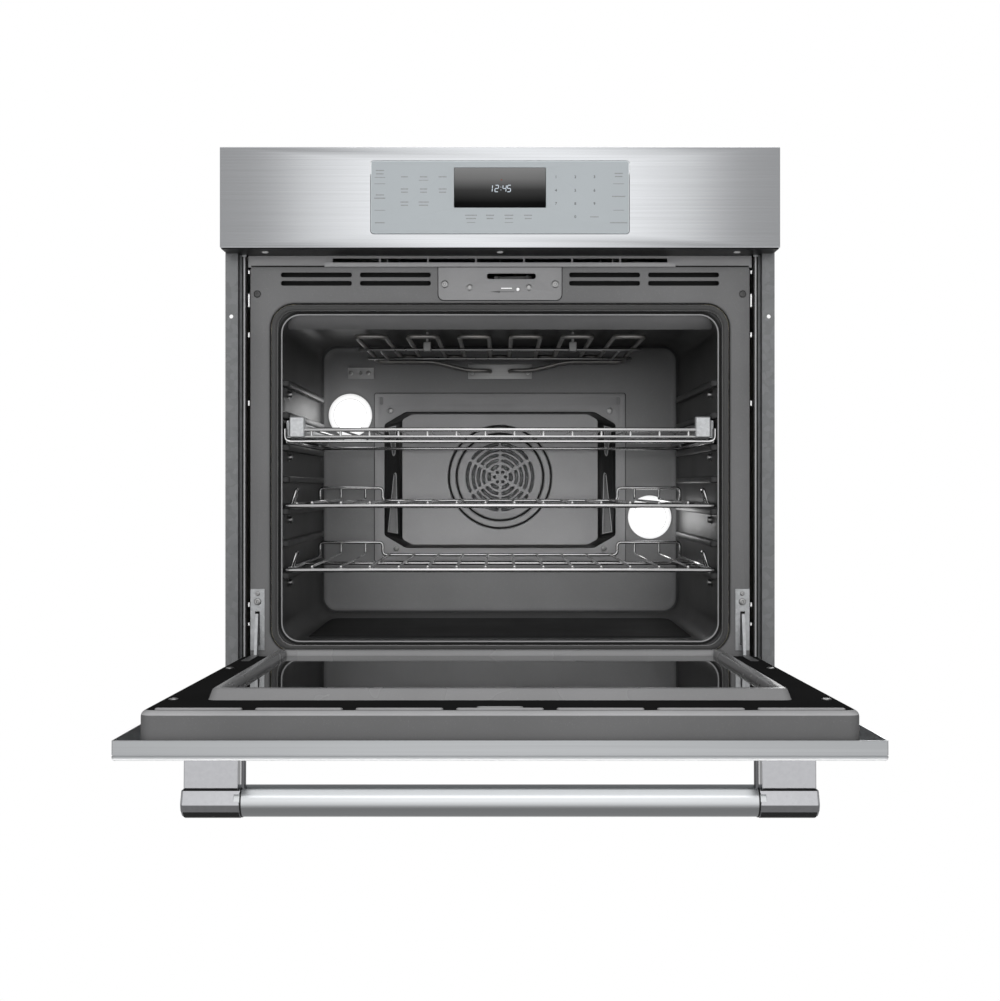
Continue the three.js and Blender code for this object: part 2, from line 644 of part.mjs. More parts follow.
function seal() {
  const edge = SEAL_INSET;
  const ring = (inset) => roundedRect(
    -recessSide + inset, recessSide - inset, recessBottom + inset, recessTop - inset, recessCorner - inset);
  const body = cut(
    throughY(ring(edge), LINER_BACK + SEAL_CLEARANCE, CAVITY_MOUTH - GAP),
    throughY(ring(edge + SEAL_WIDTH), 0, CAVITY_MOUTH + 1));
  place("cavity_seal", body, rubber);
}

function insulation() {
  const reach = SHEET + GAP;
  const grow = (by, r) =>
    roundedRect(-cavitySide - by, cavitySide + by, CAVITY_FLOOR - by, cavityTop + by, r);
  const front = FRAME_SETBACK + 18;
  const back = cavityBack + SHEET + INSULATION;
  const bore = (x, z, r) => rod("y", [cavityBack, back + 5], r, x, 0, z, 20);
  const wrap = cut(
    throughY(grow(INSULATION, CAVITY_CORNER + 10), front, back, 2),
    throughY(grow(reach, CAVITY_CORNER + reach), front - 1, cavityBack + SHEET + GAP, 3),
    // Room for the bake element under the floor.
    box([-bakeSide - 12, bakeSide + 12], [BAKE_FRONT - 12, bakeBack + 12], [CAVITY_FLOOR - 16, CAVITY_FLOOR]),
    box([-40, 40], [bakeBack, back + 5], [CAVITY_FLOOR - 16, CAVITY_FLOOR]),
    bore(0, FAN_Z, FAN_HOLE + 3),
    bore(-lampX, LAMP_UPPER_Z, LAMP_HOLE + 3),
    bore(lampX, LAMP_LOWER_Z, LAMP_HOLE + 3),
    bore(probeX, probeZ, 6),
    bore(0, broilPlateZ, BROIL_LEG_X + 6),
    bore(0, FAN_Z - CONVECTION_RING, CONVECTION_LEG_X + 6),
    // The hinge receivers stand in the front corners.
    bothSides(box([hingeX - 12, hingeX + 20], [front - 1, front + 20], [FRAME_BOTTOM, HINGE_SLOT_TOP + 40])));
  place("insulation_wrap", wrap, wool);
}

function bakeElement() {
  const z = CAVITY_FLOOR - SHEET - GAP - BAKE_TUBE - 1;
  const inner = 90;
  const route = [
    [-20, cavityBack + 30, z], [-20, bakeBack, z], [-bakeSide, bakeBack, z], [-bakeSide, BAKE_FRONT, z],
    [-inner, BAKE_FRONT, z], [-inner, bakeBack - 60, z], [inner, bakeBack - 60, z], [inner, BAKE_FRONT, z],
    [bakeSide, BAKE_FRONT, z], [bakeSide, bakeBack, z], [20, bakeBack, z], [20, cavityBack + 30, z]];
  // A strap ties the two loops together under the floor.
  const strap = box([-bakeSide, bakeSide], [230, 242], [z - BAKE_TUBE - 1, z - BAKE_TUBE + 1]);
  place("bake_element", join(wire(route, BAKE_TUBE, { bend: 20 }), strap), elementMetal);
}

// ---- Broil element ----

function broilElement() {
  const half = HAIRPIN_WIDTH / 2;
  const centres = [];
  for (let i = -2.5; i <= 2.5; i += 1) centres.push(i * HAIRPIN_PITCH);
  const legEnd = cavityBack + 24;
  const leadY = cavityBack - 24;
  const leadX = centres[0] - half;
  const route = [
    [-BROIL_LEG_X, legEnd, broilPlateZ], [-BROIL_LEG_X, leadY, broilPlateZ], [-54, leadY, broilPlateZ],
    [-112, broilBack + 14, broilZ - 7], [leadX, broilBack + 14, broilZ - 7], [leadX, broilBack - 14, broilZ]];
  centres.forEach((x, i) => {
    if (i > 0) route.push([x - half, broilBack, broilZ]);
    route.push([x - half, BROIL_FRONT, broilZ], [x + half, BROIL_FRONT, broilZ]);
    if (i < centres.length - 1) route.push([x + half, broilBack, broilZ]);
  });
  const [first] = route;
  const back = route.slice(1, 6).reverse().map(([x, y, z]) => [-x, y, z]);
  route.push(...back, [-first[0], first[1], first[2]]);
  // The legs are brazed into the plate that holds the element to the back wall.
  const y1 = cavityBack - GAP;
  const plate = box([-54, 54], [y1 - 1.5, y1], [broilPlateZ - 13, broilPlateZ + 13]);
  place("broil_element", join(wire(route, BROIL_TUBE, { bend: 11, steps: 2 }), plate), elementMetal);
}

// Two rods under the element, tied by straps, hang from the cavity roof on two clips.
function broilSupport() {
  const z = broilZ - BROIL_TUBE - BROIL_ROD - GAP;
  const reach = 2.5 * HAIRPIN_PITCH + HAIRPIN_WIDTH / 2 + 8;
  const strapX = BROIL_HANGER_X + HAIRPIN_PITCH;
  const rodBack = cavityBack - BROIL_ROD_REAR_MARGIN;
  const pieces = [BROIL_ROD_FRONT, rodBack].map((y) => barX(-reach, reach, y, z, BROIL_ROD));
  for (const x of [-strapX, strapX]) {
    pieces.push(wire([[x, BROIL_ROD_FRONT, z - 2], [x, rodBack, z - 2]], BROIL_ROD));
  }
  for (const x of [-BROIL_HANGER_X, BROIL_HANGER_X]) {
    const gapX = x < 0 ? x - 3.5 : x + 3.5;
    pieces.push(
      box([gapX - 6, gapX + 6], [BROIL_ROD_FRONT - 6, BROIL_ROD_FRONT + 4], [z - 3, broilZ + 6]),
      box([gapX - 2, gapX + 2], [BROIL_ROD_FRONT - 4, BROIL_ROD_FRONT + 2], [broilZ + 5, cavityTop - GAP]));
  }
  place("broil_support", join(...pieces), galvanised);
}

function temperatureProbe() {
  const y1 = cavityBack - GAP;
  place("temperature_probe", join(
    box([probeX - 22, probeX + 22], [y1 - 1.2, y1], [probeZ - 9.5, probeZ + 9.5]),
    rod("y", [y1 - 46, cavityBack + 26], 2.6, probeX, 0, probeZ, 12)), stainless);
}

// ---- Convection fan and its cover ----

// A slot that follows an arc, with the bars between sectors left standing.
function arcSlot(radius, turn) {
  const bar = 4.2;
  const reach = Math.PI / FAN_SECTORS - (bar + FAN_SLOT_WIDTH / 2) / radius;
  const half = FAN_SLOT_WIDTH / 2;
  const shape = new THREE.Shape();
  shape.absarc(0, 0, radius + half, turn - reach, turn + reach);
  shape.absarc(0, 0, radius - half, turn + reach, turn - reach, true);
  return shape;
}

function fanCover() {
  const y1 = cavityBack - GAP;
  const y0 = y1 - FAN_COVER_DEPTH;
  const side = FAN_COVER_WIDTH / 2;
  // An eight-sided ring whose corners are cut by cx and cz.
  const ring = (x, cx, cz, z0, z1, y) => [
    [x, y, z0 + cz], [x - cx, y, z0], [-x + cx, y, z0], [-x, y, z0 + cz],
    [-x, y, z1 - cz], [-x + cx, y, z1], [x - cx, y, z1], [x, y, z1 - cz]];
  const hood = (inset, depth, rear) => loft(
    ring(164 - inset, 16, 9, 184 + inset, 403 - inset, y0 + depth),
    ring(198 - inset, 36, 21, 176.5 + inset, 409 - inset, rear));
  const plate = box([-side, side], [y1 - SHEET, y1], [FAN_COVER_BOTTOM, FAN_COVER_TOP]);
  const tools = [hood(SHEET, SHEET, y1 + 1)];
  for (const radius of FAN_SLOT_RINGS) {
    for (let n = 0; n < FAN_SECTORS; n += 1) {
      const slot = throughY(arcSlot(radius, (n * Math.PI * 2) / FAN_SECTORS), y0 - 5, y0 + 8, 2);
      tools.push(slot.translate([0, 0, FAN_Z]));
    }
  }
  // Tapered outlets in the sloping sides.
  const outlets = [[330, 398, 3, 12], [192, 314, 14, 3]];
  for (const [low, high, wideLow, wideHigh] of outlets) {
    const x = 181;
    const slot = throughY(outline([x - wideLow / 2, low], [x + wideLow / 2, low], [x + wideHigh / 2, high],
      [x - wideHigh / 2, high]), y0 - 5, y1 - 4);
    tools.push(slot, mirrored(slot));
  }
  const dish = cut(
    rod("y", [y0 - 2, y0 + 0.5], FAN_GUARD_RADIUS, 0, 0, FAN_Z, 32),
    rod("y", [y0 - 3, y0 + 1], FAN_GUARD_RADIUS - 12, 0, 0, FAN_Z, 32));
  place("fan_cover", cut(join(hood(0, 0, y1), plate, dish), ...tools), enamel);
}

function convectionFan() {
  const y0 = cavityBack - FAN_COVER_DEPTH + 5;
  const bladeDepth = 18;
  const disc = rod("y", [y0 + bladeDepth, y0 + bladeDepth + 1.2], FAN_RADIUS, 0, 0, 0, 28);
  const hub = rod("y", [y0, y0 + bladeDepth + 6], 8, 0, 0, 0, 16);
  const shaft = rod("y", [y0 + 2, cavityBack + SHEET + INSULATION + 6], SHAFT_RADIUS, 0, 0, 0, 12);
  const blades = [];
  for (let i = 0; i < FAN_BLADES; i += 1) {
    const blade = box([FAN_RADIUS - 24, FAN_RADIUS - 1], [y0 + 1, y0 + bladeDepth + 0.5], [-0.7, 0.7]);
    blades.push(blade.rotate([0, (i * 360) / FAN_BLADES, 0]));
  }
  place("convection_fan", join(disc, hub, shaft, ...blades).translate([0, 0, FAN_Z]), galvanised);

  const start = cavityBack + SHEET + INSULATION + GAP;
  const bore = SHAFT_RADIUS + 0.5;
  const motor = cut(
    join(
      rod("y", [start, start + 44], 42, 0, 0, FAN_Z, 28),
      box([-62, 62], [start, start + 2], [FAN_Z - 14, FAN_Z + 14])),
    rod("y", [start - 5, start + 12], bore, 0, 0, FAN_Z, 12));
  place("convection_motor", motor, galvanised);
}

function convectionElement() {
  const y = cavityBack - 16;
  const end = cavityBack + 24;
  const low = FAN_Z - CONVECTION_RING;
  const open = Math.asin(CONVECTION_LEG_X / CONVECTION_RING);
  const points = [[-CONVECTION_LEG_X, end, low], [-CONVECTION_LEG_X, y + 4, low]];
  const steps = 20;
  for (let i = 0; i <= steps; i += 1) {
    const turn = -Math.PI / 2 - open - (i / steps) * (Math.PI * 2 - open * 2);
    points.push([Math.cos(turn) * CONVECTION_RING, y, FAN_Z + Math.sin(turn) * CONVECTION_RING]);
  }
  points.push([CONVECTION_LEG_X, y + 4, low], [CONVECTION_LEG_X, end, low]);
  place("convection_element", wire(points, CONVECTION_TUBE, { bend: 2, steps: 1 }), elementMetal);
}

// ---- Lamps ----

function lamp(which, x, z) {
  const wall = cavityBack;
  const y1 = wall - GAP;
  // A rim with a domed lens.
  const profile = [[0, -9], [20, -8], [28, -5], [30, -3.5], [LAMP_RIM, -3], [LAMP_RIM, 0], [0, 0]];
  const lens = new THREE.LatheGeometry(profile.map(([r, h]) => new THREE.Vector2(r, h)), 28);
  place(`lamp_lens_${which}`, shift(lens, x, y1, z), lampGlass);

  const housingBack = wall + SHEET + INSULATION + 14;
  const socket = housingBack - 12;
  const housing = cut(
    rod("y", [wall + GAP, housingBack], LAMP_HOLE - GAP, x, 0, z, 20),
    rod("y", [wall - 1, socket], LAMP_HOLE - 2, x, 0, z, 20),
    rod("y", [socket - 1, socket + 6], 6.4, x, 0, z, 12));
  place(`lamp_housing_${which}`, housing, galvanised);
  const bulb = join(
    rod("y", [wall + 10, socket - 6], 7, x, 0, z, 12),
    rod("y", [socket - 7, socket + 5], 6, x, 0, z, 12));
  place(`lamp_bulb_${which}`, bulb, lampGlass);
}

// ---- Control fascia ----

function controls() {
  const front = -FRONT_PROUD;
  const back = -GAP - 1.5;
  const shape = (inset) => outline(
    [-halfWidth + inset, fasciaBottom + inset], [halfWidth - inset, fasciaBottom + inset],
    [halfWidth - inset, OVERALL_HEIGHT - inset], [-halfWidth + inset, OVERALL_HEIGHT - inset]);
  const touchSide = TOUCH_WIDTH / 2;
  const displayBottom = touchBottom + DISPLAY_RISE;
  const displayTop = displayBottom + DISPLAY_HEIGHT;
  const window = (grow, y0, y1) => throughY(
    roundedRect(-touchSide - grow, touchSide + grow, touchBottom - grow, touchTop + grow, 4), y0, y1, 3);
  const fascia = cut(
    throughY(shape(0), front, back),
    throughY(shape(SHEET), front + SHEET, back + 1),
    window(GAP, front - 1, front + SHEET + 1));
  place("control_fascia", fascia, stainless);

  const displaySide = DISPLAY_WIDTH / 2;
  const display = (grow, y0, y1) => throughY(roundedRect(
    -displaySide - grow, displaySide + grow, displayBottom - grow, displayTop + grow, 1), y0, y1, 2);
  const touch = cut(window(0, front - 0.8, front + 2.6), display(GAP, front - 2, front + 5));
  place("touch_panel", touch, silverGlass);
  place("display_window", display(0, front - 0.9, front + 2), darkGlass);

  // The circuit board, with its relays and transformer.
  const chips = [[-120, 37, 30, 12], [-60, 67, 22, 9], [20, 17, 40, 10], [90, 57, 26, 14]];
  const parts = chips.map(([x, rise, size, height]) => box(
    [x, x + size], [front + 11, front + 12 + height], [touchBottom + rise, touchBottom + rise + size * 0.6]));
  const boardSide = touchSide - 14;
  const plate = box([-boardSide, boardSide], [front + 10, front + 11.6], [touchBottom + 7, touchTop - 5]);
  place("control_board", join(plate, ...parts), board);

  // The bracket closes the underside behind the fascia, and carries it on the chassis.
  const bracketSide = frameSide + 2;
  const rear = FRAME_SETBACK + 18;
  const bracket = join(
    box([-bracketSide, bracketSide], [back + GAP, rear], [fasciaBottom - SHEET, fasciaBottom]),
    box([-bracketSide, bracketSide], [rear - SHEET, rear], [fasciaBottom - SHEET, chassisTop - SHEET - GAP]));
  place("fascia_bracket", bracket, galvanised);
}

// ---- Cooling blower ----

function coolingBlower() {
  const half = BLOWER_LENGTH / 2;
  const blades = [];
  for (let i = 0; i < BLOWER_BLADES; i += 1) {
    const blade = box([-half, half], [-0.6, 0.6], [BLOWER_RADIUS - 8, BLOWER_RADIUS - 1]);
    blades.push(blade.rotate([(i * 360) / BLOWER_BLADES, 0, 0]));
  }
  const discs = [-half, 0, half].map((x) => rod("x", [x - 1, x + 1], BLOWER_RADIUS, 0, 0, 0, 18));
  const shaft = rod("x", [-half - 12, half + 12], 3, 0, 0, 0, 12);
  const wheel = join(...discs, shaft, ...blades);
  place("blower_wheel", wheel.translate([0, BLOWER_Y, blowerZ]), galvanised);

  // The duct leads the air forward from the wheel to the vents.
  const [bottom, top] = [blowerZ - BLOWER_RADIUS - 8, blowerZ + BLOWER_RADIUS + 12];
  const front = FRAME_SETBACK + 19;
  const rear = BLOWER_Y + BLOWER_RADIUS + 12;
  const outletBottom = frameTop + CLEAR;
  const outletTop = fasciaBottom - SHEET - CLEAR;
  const section = outline(
    [front, outletBottom], [BLOWER_Y, bottom], [rear, bottom],
    [rear, top], [BLOWER_Y, top], [front, outletTop]);
  const inside = outline(
    [front - 1, outletBottom + SHEET], [BLOWER_Y, bottom + SHEET], [rear - SHEET, bottom + SHEET],
    [rear - SHEET, top - SHEET], [BLOWER_Y, top - SHEET], [front - 1, outletTop - SHEET]);
  const housing = cut(
    throughX(section, -half - 8, half + 8),
    throughX(inside, -half - 8 + SHEET, half + 8 - SHEET),
    rod("x", [-half - 20, half + 20], 3.6, 0, BLOWER_Y, blowerZ, 12),
    box([-half + 20, half - 20], [rear - 4, rear + 4], [blowerZ - 16, blowerZ + 16]));
  place("blower_housing", housing, galvanised);

  const start = half + 8 + GAP;
  place("blower_motor", cut(
    join(
      rod("x", [start, start + 46], 27, 0, BLOWER_Y, blowerZ, 24),
      box([start, start + 2], [BLOWER_Y - 34, BLOWER_Y + 34], [blowerZ - 12, blowerZ + 12])),
    rod("x", [start - 2, start + 10], 3.6, 0, BLOWER_Y, blowerZ, 12)), galvanised);
}

// ---- Supply ----

function supply() {
  const back = CHASSIS_DEPTH - SHEET - GAP;
  const outer = CHASSIS_DEPTH + GAP;
  const shell = cut(
    box([conduitX - 45, conduitX + 45], [back - 50, back], [conduitZ - 36, conduitZ + 36]),
    box([conduitX - 43.5, conduitX + 43.5], [back - 48.5, back - 1.5], [conduitZ - 34.5, conduitZ + 34.5]));
  // A flexible conduit is clamped in the gland behind the box.
  const gland = join(
    rod("y", [back - 1, outer + 4], CONDUIT_HOLE - GAP, conduitX, 0, conduitZ),
    rod("y", [outer, outer + 6], CONDUIT_HOLE + 5, conduitX, 0, conduitZ, 6),
    rod("y", [outer + 5, outer + 22], CONDUIT_HOLE, conduitX, 0, conduitZ));
  const bore = rod("y", [back - 5, outer + 30], CONDUIT_HOLE - 4, conduitX, 0, conduitZ);
  place("junction_box", cut(join(shell, gland), bore), galvanised);
}

// ---- Hinges ----

function hinge(side, flip) {
  const x0 = hingeX - HINGE_ARM / 2;
  const x1 = hingeX + HINGE_ARM / 2;
  const wallY = FRAME_SETBACK;
  // The claw hooks into the receiver, and its pin carries the door.
  const claw = outline(
    [PIVOT_Y - 6, PIVOT_Z - 1], [PIVOT_Y - 4, PIVOT_Z - 5.5], [PIVOT_Y, PIVOT_Z - 6.8],
    [PIVOT_Y + 4, PIVOT_Z - 5.5], [PIVOT_Y + 6.4, PIVOT_Z], [7, HINGE_SLOT_BOTTOM + 4],
    [wallY + 14, HINGE_SLOT_BOTTOM + 4],
    [wallY + 14, HINGE_SLOT_BOTTOM + 14], [wallY + 6, HINGE_SLOT_BOTTOM + 14],
    [wallY + 6, HINGE_SLOT_TOP - 16], [wallY + 14, HINGE_SLOT_TOP - 16],
    [wallY + 14, HINGE_SLOT_TOP - 6], [5, HINGE_SLOT_TOP - 6],
    [-4, HINGE_SLOT_BOTTOM + 8]);
  const arm = join(
    throughX(claw, x0, x1),
    rod("x", [hingeX - 8, hingeX + 8], HINGE_PIN, 0, PIVOT_Y, PIVOT_Z, 16));
  place(`hinge_claw_${side}`, flip(arm), galvanised);

  // The receiver: a plate on the frame, with a pocket behind it.
  const plateTop = HINGE_SLOT_TOP + 28;
  const plateBottom = HINGE_SLOT_BOTTOM - 5;
  const plateX = [hingeX - 10, hingeX + 9.5];
  const slot = box(
    [x0 - 1.2, x1 + 1.2], [wallY - 5, wallY + 30], [HINGE_SLOT_BOTTOM + 2, HINGE_SLOT_TOP - 3]);
  const receiver = cut(
    join(
      box(plateX, [wallY - GAP - 1.6, wallY - GAP], [plateBottom, plateTop]),
      box([x0 - 1.8, x1 + 1.8], [wallY - 1, wallY + 18], [HINGE_SLOT_BOTTOM + 1, HINGE_SLOT_TOP - 2])),
    slot);
  place(`hinge_receiver_${side}`, flip(receiver), galvanised);

  // The channel in the door turns on the claw's pin.
  const gap = hingeGap;
  const cheek = outline(
    [PIVOT_Y - HINGE_BOSS, PIVOT_Z], [PIVOT_Y - 5, PIVOT_Z - 5], [PIVOT_Y, PIVOT_Z - HINGE_BOSS],
    [PIVOT_Y + 5, PIVOT_Z - 5], [PIVOT_Y + HINGE_BOSS, PIVOT_Z], [PIVOT_Y + HINGE_BOSS, HINGE_CHANNEL_TOP],
    [-17, HINGE_CHANNEL_TOP], [-17, linerBottom + 8]);
  const channel = cut(
    join(
      throughX(cheek, hingeX - gap - HINGE_CHEEK, hingeX - gap),
      throughX(cheek, hingeX + gap, hingeX + gap + HINGE_CHEEK),
      box([hingeX - gap - 1, hingeX + gap + 1], [-17, -15.5], [linerBottom + 10, HINGE_CHANNEL_TOP]),
      box([hingeX - gap - 1, hingeX + gap + 1], [-16, 3], [HINGE_CHANNEL_TOP - 30, HINGE_CHANNEL_TOP])),
    rod("x", [hingeX - 10, hingeX + 10], HINGE_PIN + HINGE_PIN_CLEARANCE, 0, PIVOT_Y, PIVOT_Z, 16));
  placeInDoor(`hinge_channel_${side}`, flip(channel), galvanised);
}

// ---- Door ----

function doorShell() {
  const front = -FRONT_PROUD;
  const windowSide = halfWidth - WINDOW_SIDE_MARGIN;
  const windowBottom = DOOR_BOTTOM + WINDOW_FOOT_MARGIN;
  const windowTop = doorTop - WINDOW_HEAD_MARGIN;
  const skin = cut(
    box([-halfWidth, halfWidth], [front, front + SKIN_DEPTH], [DOOR_BOTTOM, doorTop]),
    box([-halfWidth + SHEET, halfWidth - SHEET], [front + SHEET, front + SKIN_DEPTH + 1],
      [DOOR_BOTTOM + SHEET, doorTop - SHEET]),
    throughY(roundedRect(-windowSide, windowSide, windowBottom, windowTop, 10), front - 1, front + 3, 4));
  placeInDoor("door_skin", skin, stainless);

  const glassY = front + SHEET + GAP;
  placeInDoor("door_outer_glass", throughY(
    roundedRect(-windowSide - 20, windowSide + 20, windowBottom - 20, windowTop + 20, 6),
    glassY, glassY + GLASS_THICKNESS, 2), darkGlass);

  // The liner is a pan that opens towards the skin.
  const foot = glassY + GLASS_THICKNESS + 1;
  const pan = (inset) => roundedRect(
    -linerSide + inset, linerSide - inset, linerBottom + inset, linerTop - inset, 12 - inset);
  const openingSide = glassFrameSide - GLASS_FRAME_RAIL - 10;
  const openingBottom = glassFrameBottom + GLASS_FRAME_RAIL + 10;
  const openingTop = glassFrameTop - GLASS_FRAME_RAIL - 10;
  const tools = [
    throughY(pan(SHEET), foot - 1, LINER_BACK - SHEET, 3),
    throughY(roundedRect(-openingSide, openingSide, openingBottom, openingTop, 10), 0, LINER_BACK + 1, 3),
    box([-LATCH_HOLE_SIDE, LATCH_HOLE_SIDE], [0, LINER_BACK + 1], [latchZ - 4.5, latchZ + 3]),
  ];
  const slotHalf = DOOR_SLOT_LENGTH / 2;
  for (let i = 0; i < DOOR_SLOTS; i += 1) {
    const x = (i - (DOOR_SLOTS - 1) / 2) * DOOR_SLOT_PITCH;
    const z = linerTop - DOOR_SLOT_BELOW_TOP;
    tools.push(box([x - slotHalf, x + slotHalf], [0, LINER_BACK + 1], [z, z + DOOR_SLOT_HEIGHT]));
  }
  for (const x of [-hingeX, hingeX]) {
    // Each slot lets a hinge channel and its claw through.
    const half = hingeGap + HINGE_CHEEK + 0.6;
    tools.push(box([x - half, x + half], [-18, LINER_BACK + 1], [linerBottom - 1, HINGE_SLOT_TOP + 4]));
  }
  placeInDoor("door_liner", cut(throughY(pan(0), foot, LINER_BACK, 3), ...tools), blackEnamel);

  const y0 = LINER_BACK + GAP;
  const y1 = LINER_BACK + GLASS_FRAME_RISE;
  const corners = (inset, y) => {
    const side = glassFrameSide - inset;
    const [low, high] = [glassFrameBottom + inset, glassFrameTop - inset];
    return [[side, y, low], [side, y, high], [-side, y, high], [-side, y, low]];
  };
  const frame = cut(
    loft(corners(0, y0), corners(3, y1)),
    loft(corners(GLASS_FRAME_RAIL, y0 - 1), corners(GLASS_FRAME_RAIL, y1 + 1)));
  placeInDoor("glass_frame", frame, enamel);

  const inset = GLASS_FRAME_RAIL + GAP;
  placeInDoor("door_inner_glass", box(
    [-glassFrameSide + inset, glassFrameSide - inset], [y0, y0 + GLASS_THICKNESS],
    [glassFrameBottom + inset, glassFrameTop - inset]), darkGlass);
}

function doorHandle() {
  const z = doorTop - HANDLE_BELOW_TOP;
  const y = -FRONT_PROUD - HANDLE_STANDOFF;
  const half = halfWidth - HANDLE_END_MARGIN;
  const postInner = half - HANDLE_POST_WIDTH;
  placeInDoor("handle_bar", rod("x", [-postInner - 8, postInner + 8], HANDLE_RADIUS, 0, y, z, 28), stainless);
  // Each post wraps the end of the bar and stands on the skin.
  const post = cut(
    join(
      rod("x", [postInner, half], HANDLE_RADIUS + 1.2, 0, y, z, 20),
      box([postInner + 3, half - 2], [y, -FRONT_PROUD - GAP],
        [z - HANDLE_RADIUS + 2, z + HANDLE_RADIUS - 2])),
    rod("x", [postInner - 1, postInner + 8 + GAP], HANDLE_RADIUS + GAP, 0, y, z, 28));
  placeInDoor("handle_post_right", post, castAlloy);
  placeInDoor("handle_post_left", mirrored(post), castAlloy);
}

// ---- Racks ----

const wirePositions = [];
for (let x = RACK_PITCH / 2; x < rackX - RACK_EDGE; x += RACK_PITCH) wirePositions.push(-x, x);

// A plain rack: rails on the ledges, a front bar, and a back bar that rises at both sides as a stop.
function plainRack(name, ledge) {
  const z = ledgeTop(ledge) + GAP + RACK_RAIL;
  const wireZ = z + RACK_RAIL + RACK_WIRE - 0.8;
  const stopZ = z + RACK_BACKSTOP;
  const inner = rackX - RACK_BACKSTOP_WIDTH;
  const rear = rackBack;
  const pieces = [
    barX(-rackX, rackX, RACK_FRONT, z, RACK_RAIL),
    barX(-rackX, rackX, (RACK_FRONT + rear) / 2 - 10, z, RACK_WIRE + 0.5),
    wire([[-rackX, rear, z], [-rackX, rear, stopZ], [-inner, rear, stopZ], [-inner, rear, wireZ - 1],
      [inner, rear, wireZ - 1], [inner, rear, stopZ], [rackX, rear, stopZ], [rackX, rear, z]],
    RACK_WIRE + 0.6, { bend: 7, steps: 2 }),
  ];
  for (const x of [-rackX, rackX]) {
    const lean = x < 0 ? x + 8 : x - 8;
    const loop = [[x, 70, z], [lean, 70, z + 22], [lean, 96, z + 22], [x, 96, z]];
    pieces.push(
      wire([[x, RACK_FRONT - 1, z], [x, rear + 2, z]], RACK_RAIL),
      wire(loop, RACK_WIRE, { bend: 5, steps: 2 }));
  }
  for (const x of wirePositions) {
    const rises = Math.abs(x) > inner;
    pieces.push(wire(rises
      ? [[x, RACK_FRONT - 1, wireZ], [x, rear, wireZ], [x, rear, stopZ]]
      : [[x, RACK_FRONT - 1, wireZ], [x, rear + 2, wireZ]], RACK_WIRE, { bend: 5, steps: 1, sides: 5 }));
  }
  place(name, join(...pieces), chrome);
}

// The upper rack runs out on slides: a rail on the fixed frame, a middle member and the deck's bar.
function telescopicRack() {
  const seat = ledgeTop(UPPER_RACK_LEDGE) + GAP;
  const z = seat + RACK_RAIL;
  const slideBottom = seat + SLIDE_ABOVE_LEDGE;
  const slideTop = slideBottom + SLIDE_HEIGHT;
  const outer = rackX + 1.2;
  const wall = SLIDE_WALL;
  const run = CLEAR; // between nested members
  const depth = SLIDE_DEPTH;

  const channel = (x1, low, high) => cut(
    box([outer - depth, x1], [SLIDE_FRONT, slideEnd], [low, high]),
    box([outer - depth - 1, x1 - wall], [SLIDE_FRONT - 1, slideEnd + 1], [low + wall, high - wall]));

  // Fixed frame.
  const frontY = RACK_FRONT - 2;
  const rightSide = join(
    channel(outer, slideBottom, slideTop),
    box([outer - wall, outer], [frontY - 2, SLIDE_FRONT + 1], [slideBottom, slideTop]),
    wire([[rackX, frontY, z], [rackX, slideEnd - 14, z]], RACK_RAIL - 0.2),
    ...[70, slideEnd - 62].map((y) => box([outer - 3, outer - 0.2], [y, y + 20], [z, slideBottom + 1])));
  const hornX = cavitySide - RACK_WIRE - 1;
  const frontWire = wire([[-hornX, frontY, slideTop - 12], [-hornX, frontY, z], [hornX, frontY, z],
    [hornX, frontY, slideTop - 12]], RACK_WIRE, { bend: 9 });
  const rearBar = barX(-rackX, rackX, slideEnd - 16, z, RACK_WIRE + 0.5);
  place("upper_rack_frame", join(bothSides(rightSide), frontWire, rearBar), chrome);

  // Middle members.
  const memberLow = slideBottom + wall + run;
  const memberHigh = slideTop - wall - run;
  const memberX = outer - wall - run;
  const member = channel(memberX, memberLow, memberHigh);
  place("slide_member_right", member, galvanised);
  place("slide_member_left", mirrored(member), galvanised);

  // Deck.
  const barLow = memberLow + wall + run;
  const barHigh = memberHigh - wall - run;
  const barX1 = memberX - wall - run;
  const barX0 = outer - depth - 3;
  const crossZ = barLow + 3;
  const wireZ = crossZ + RACK_WIRE * 2 - 0.5;
  const lipY = frontY - 3;
  const lowZ = wireZ - 9.5;
  const deckEnd = slideEnd - 12;
  const blockX = [barX0 - 14, barX0 + 7];
  const pieces = [
    barX(-blockX[0] - 2, blockX[0] + 2, lipY, wireZ, 2.9),
    barX(-blockX[0] - 2, blockX[0] + 2, lipY, lowZ, RACK_WIRE),
    barX(-barX0 - 1, barX0 + 1, (SLIDE_FRONT + deckEnd) / 2, crossZ, RACK_WIRE + 0.4),
    barX(-barX0 - 1, barX0 + 1, deckEnd - 4, crossZ, RACK_WIRE + 0.4),
    bothSides(join(
      box([barX0, barX1], [SLIDE_FRONT - 4, slideEnd - 6], [barLow, barHigh]),
      box(blockX, [lipY - 4, SLIDE_FRONT - 2], [slideBottom, slideTop + 5]))),
  ];
  for (const x of wirePositions) {
    if (Math.abs(x) < barX0 - 8) {
      pieces.push(wire([[x, lipY, wireZ], [x, deckEnd - 2, wireZ]], RACK_WIRE - 0.2, { sides: 5 }));
      pieces.push(wire([[x, lipY, wireZ], [x, lipY, lowZ]], RACK_WIRE - 0.5, { sides: 5 }));
    }
  }
  place("upper_rack_deck", join(...pieces), chrome);
}

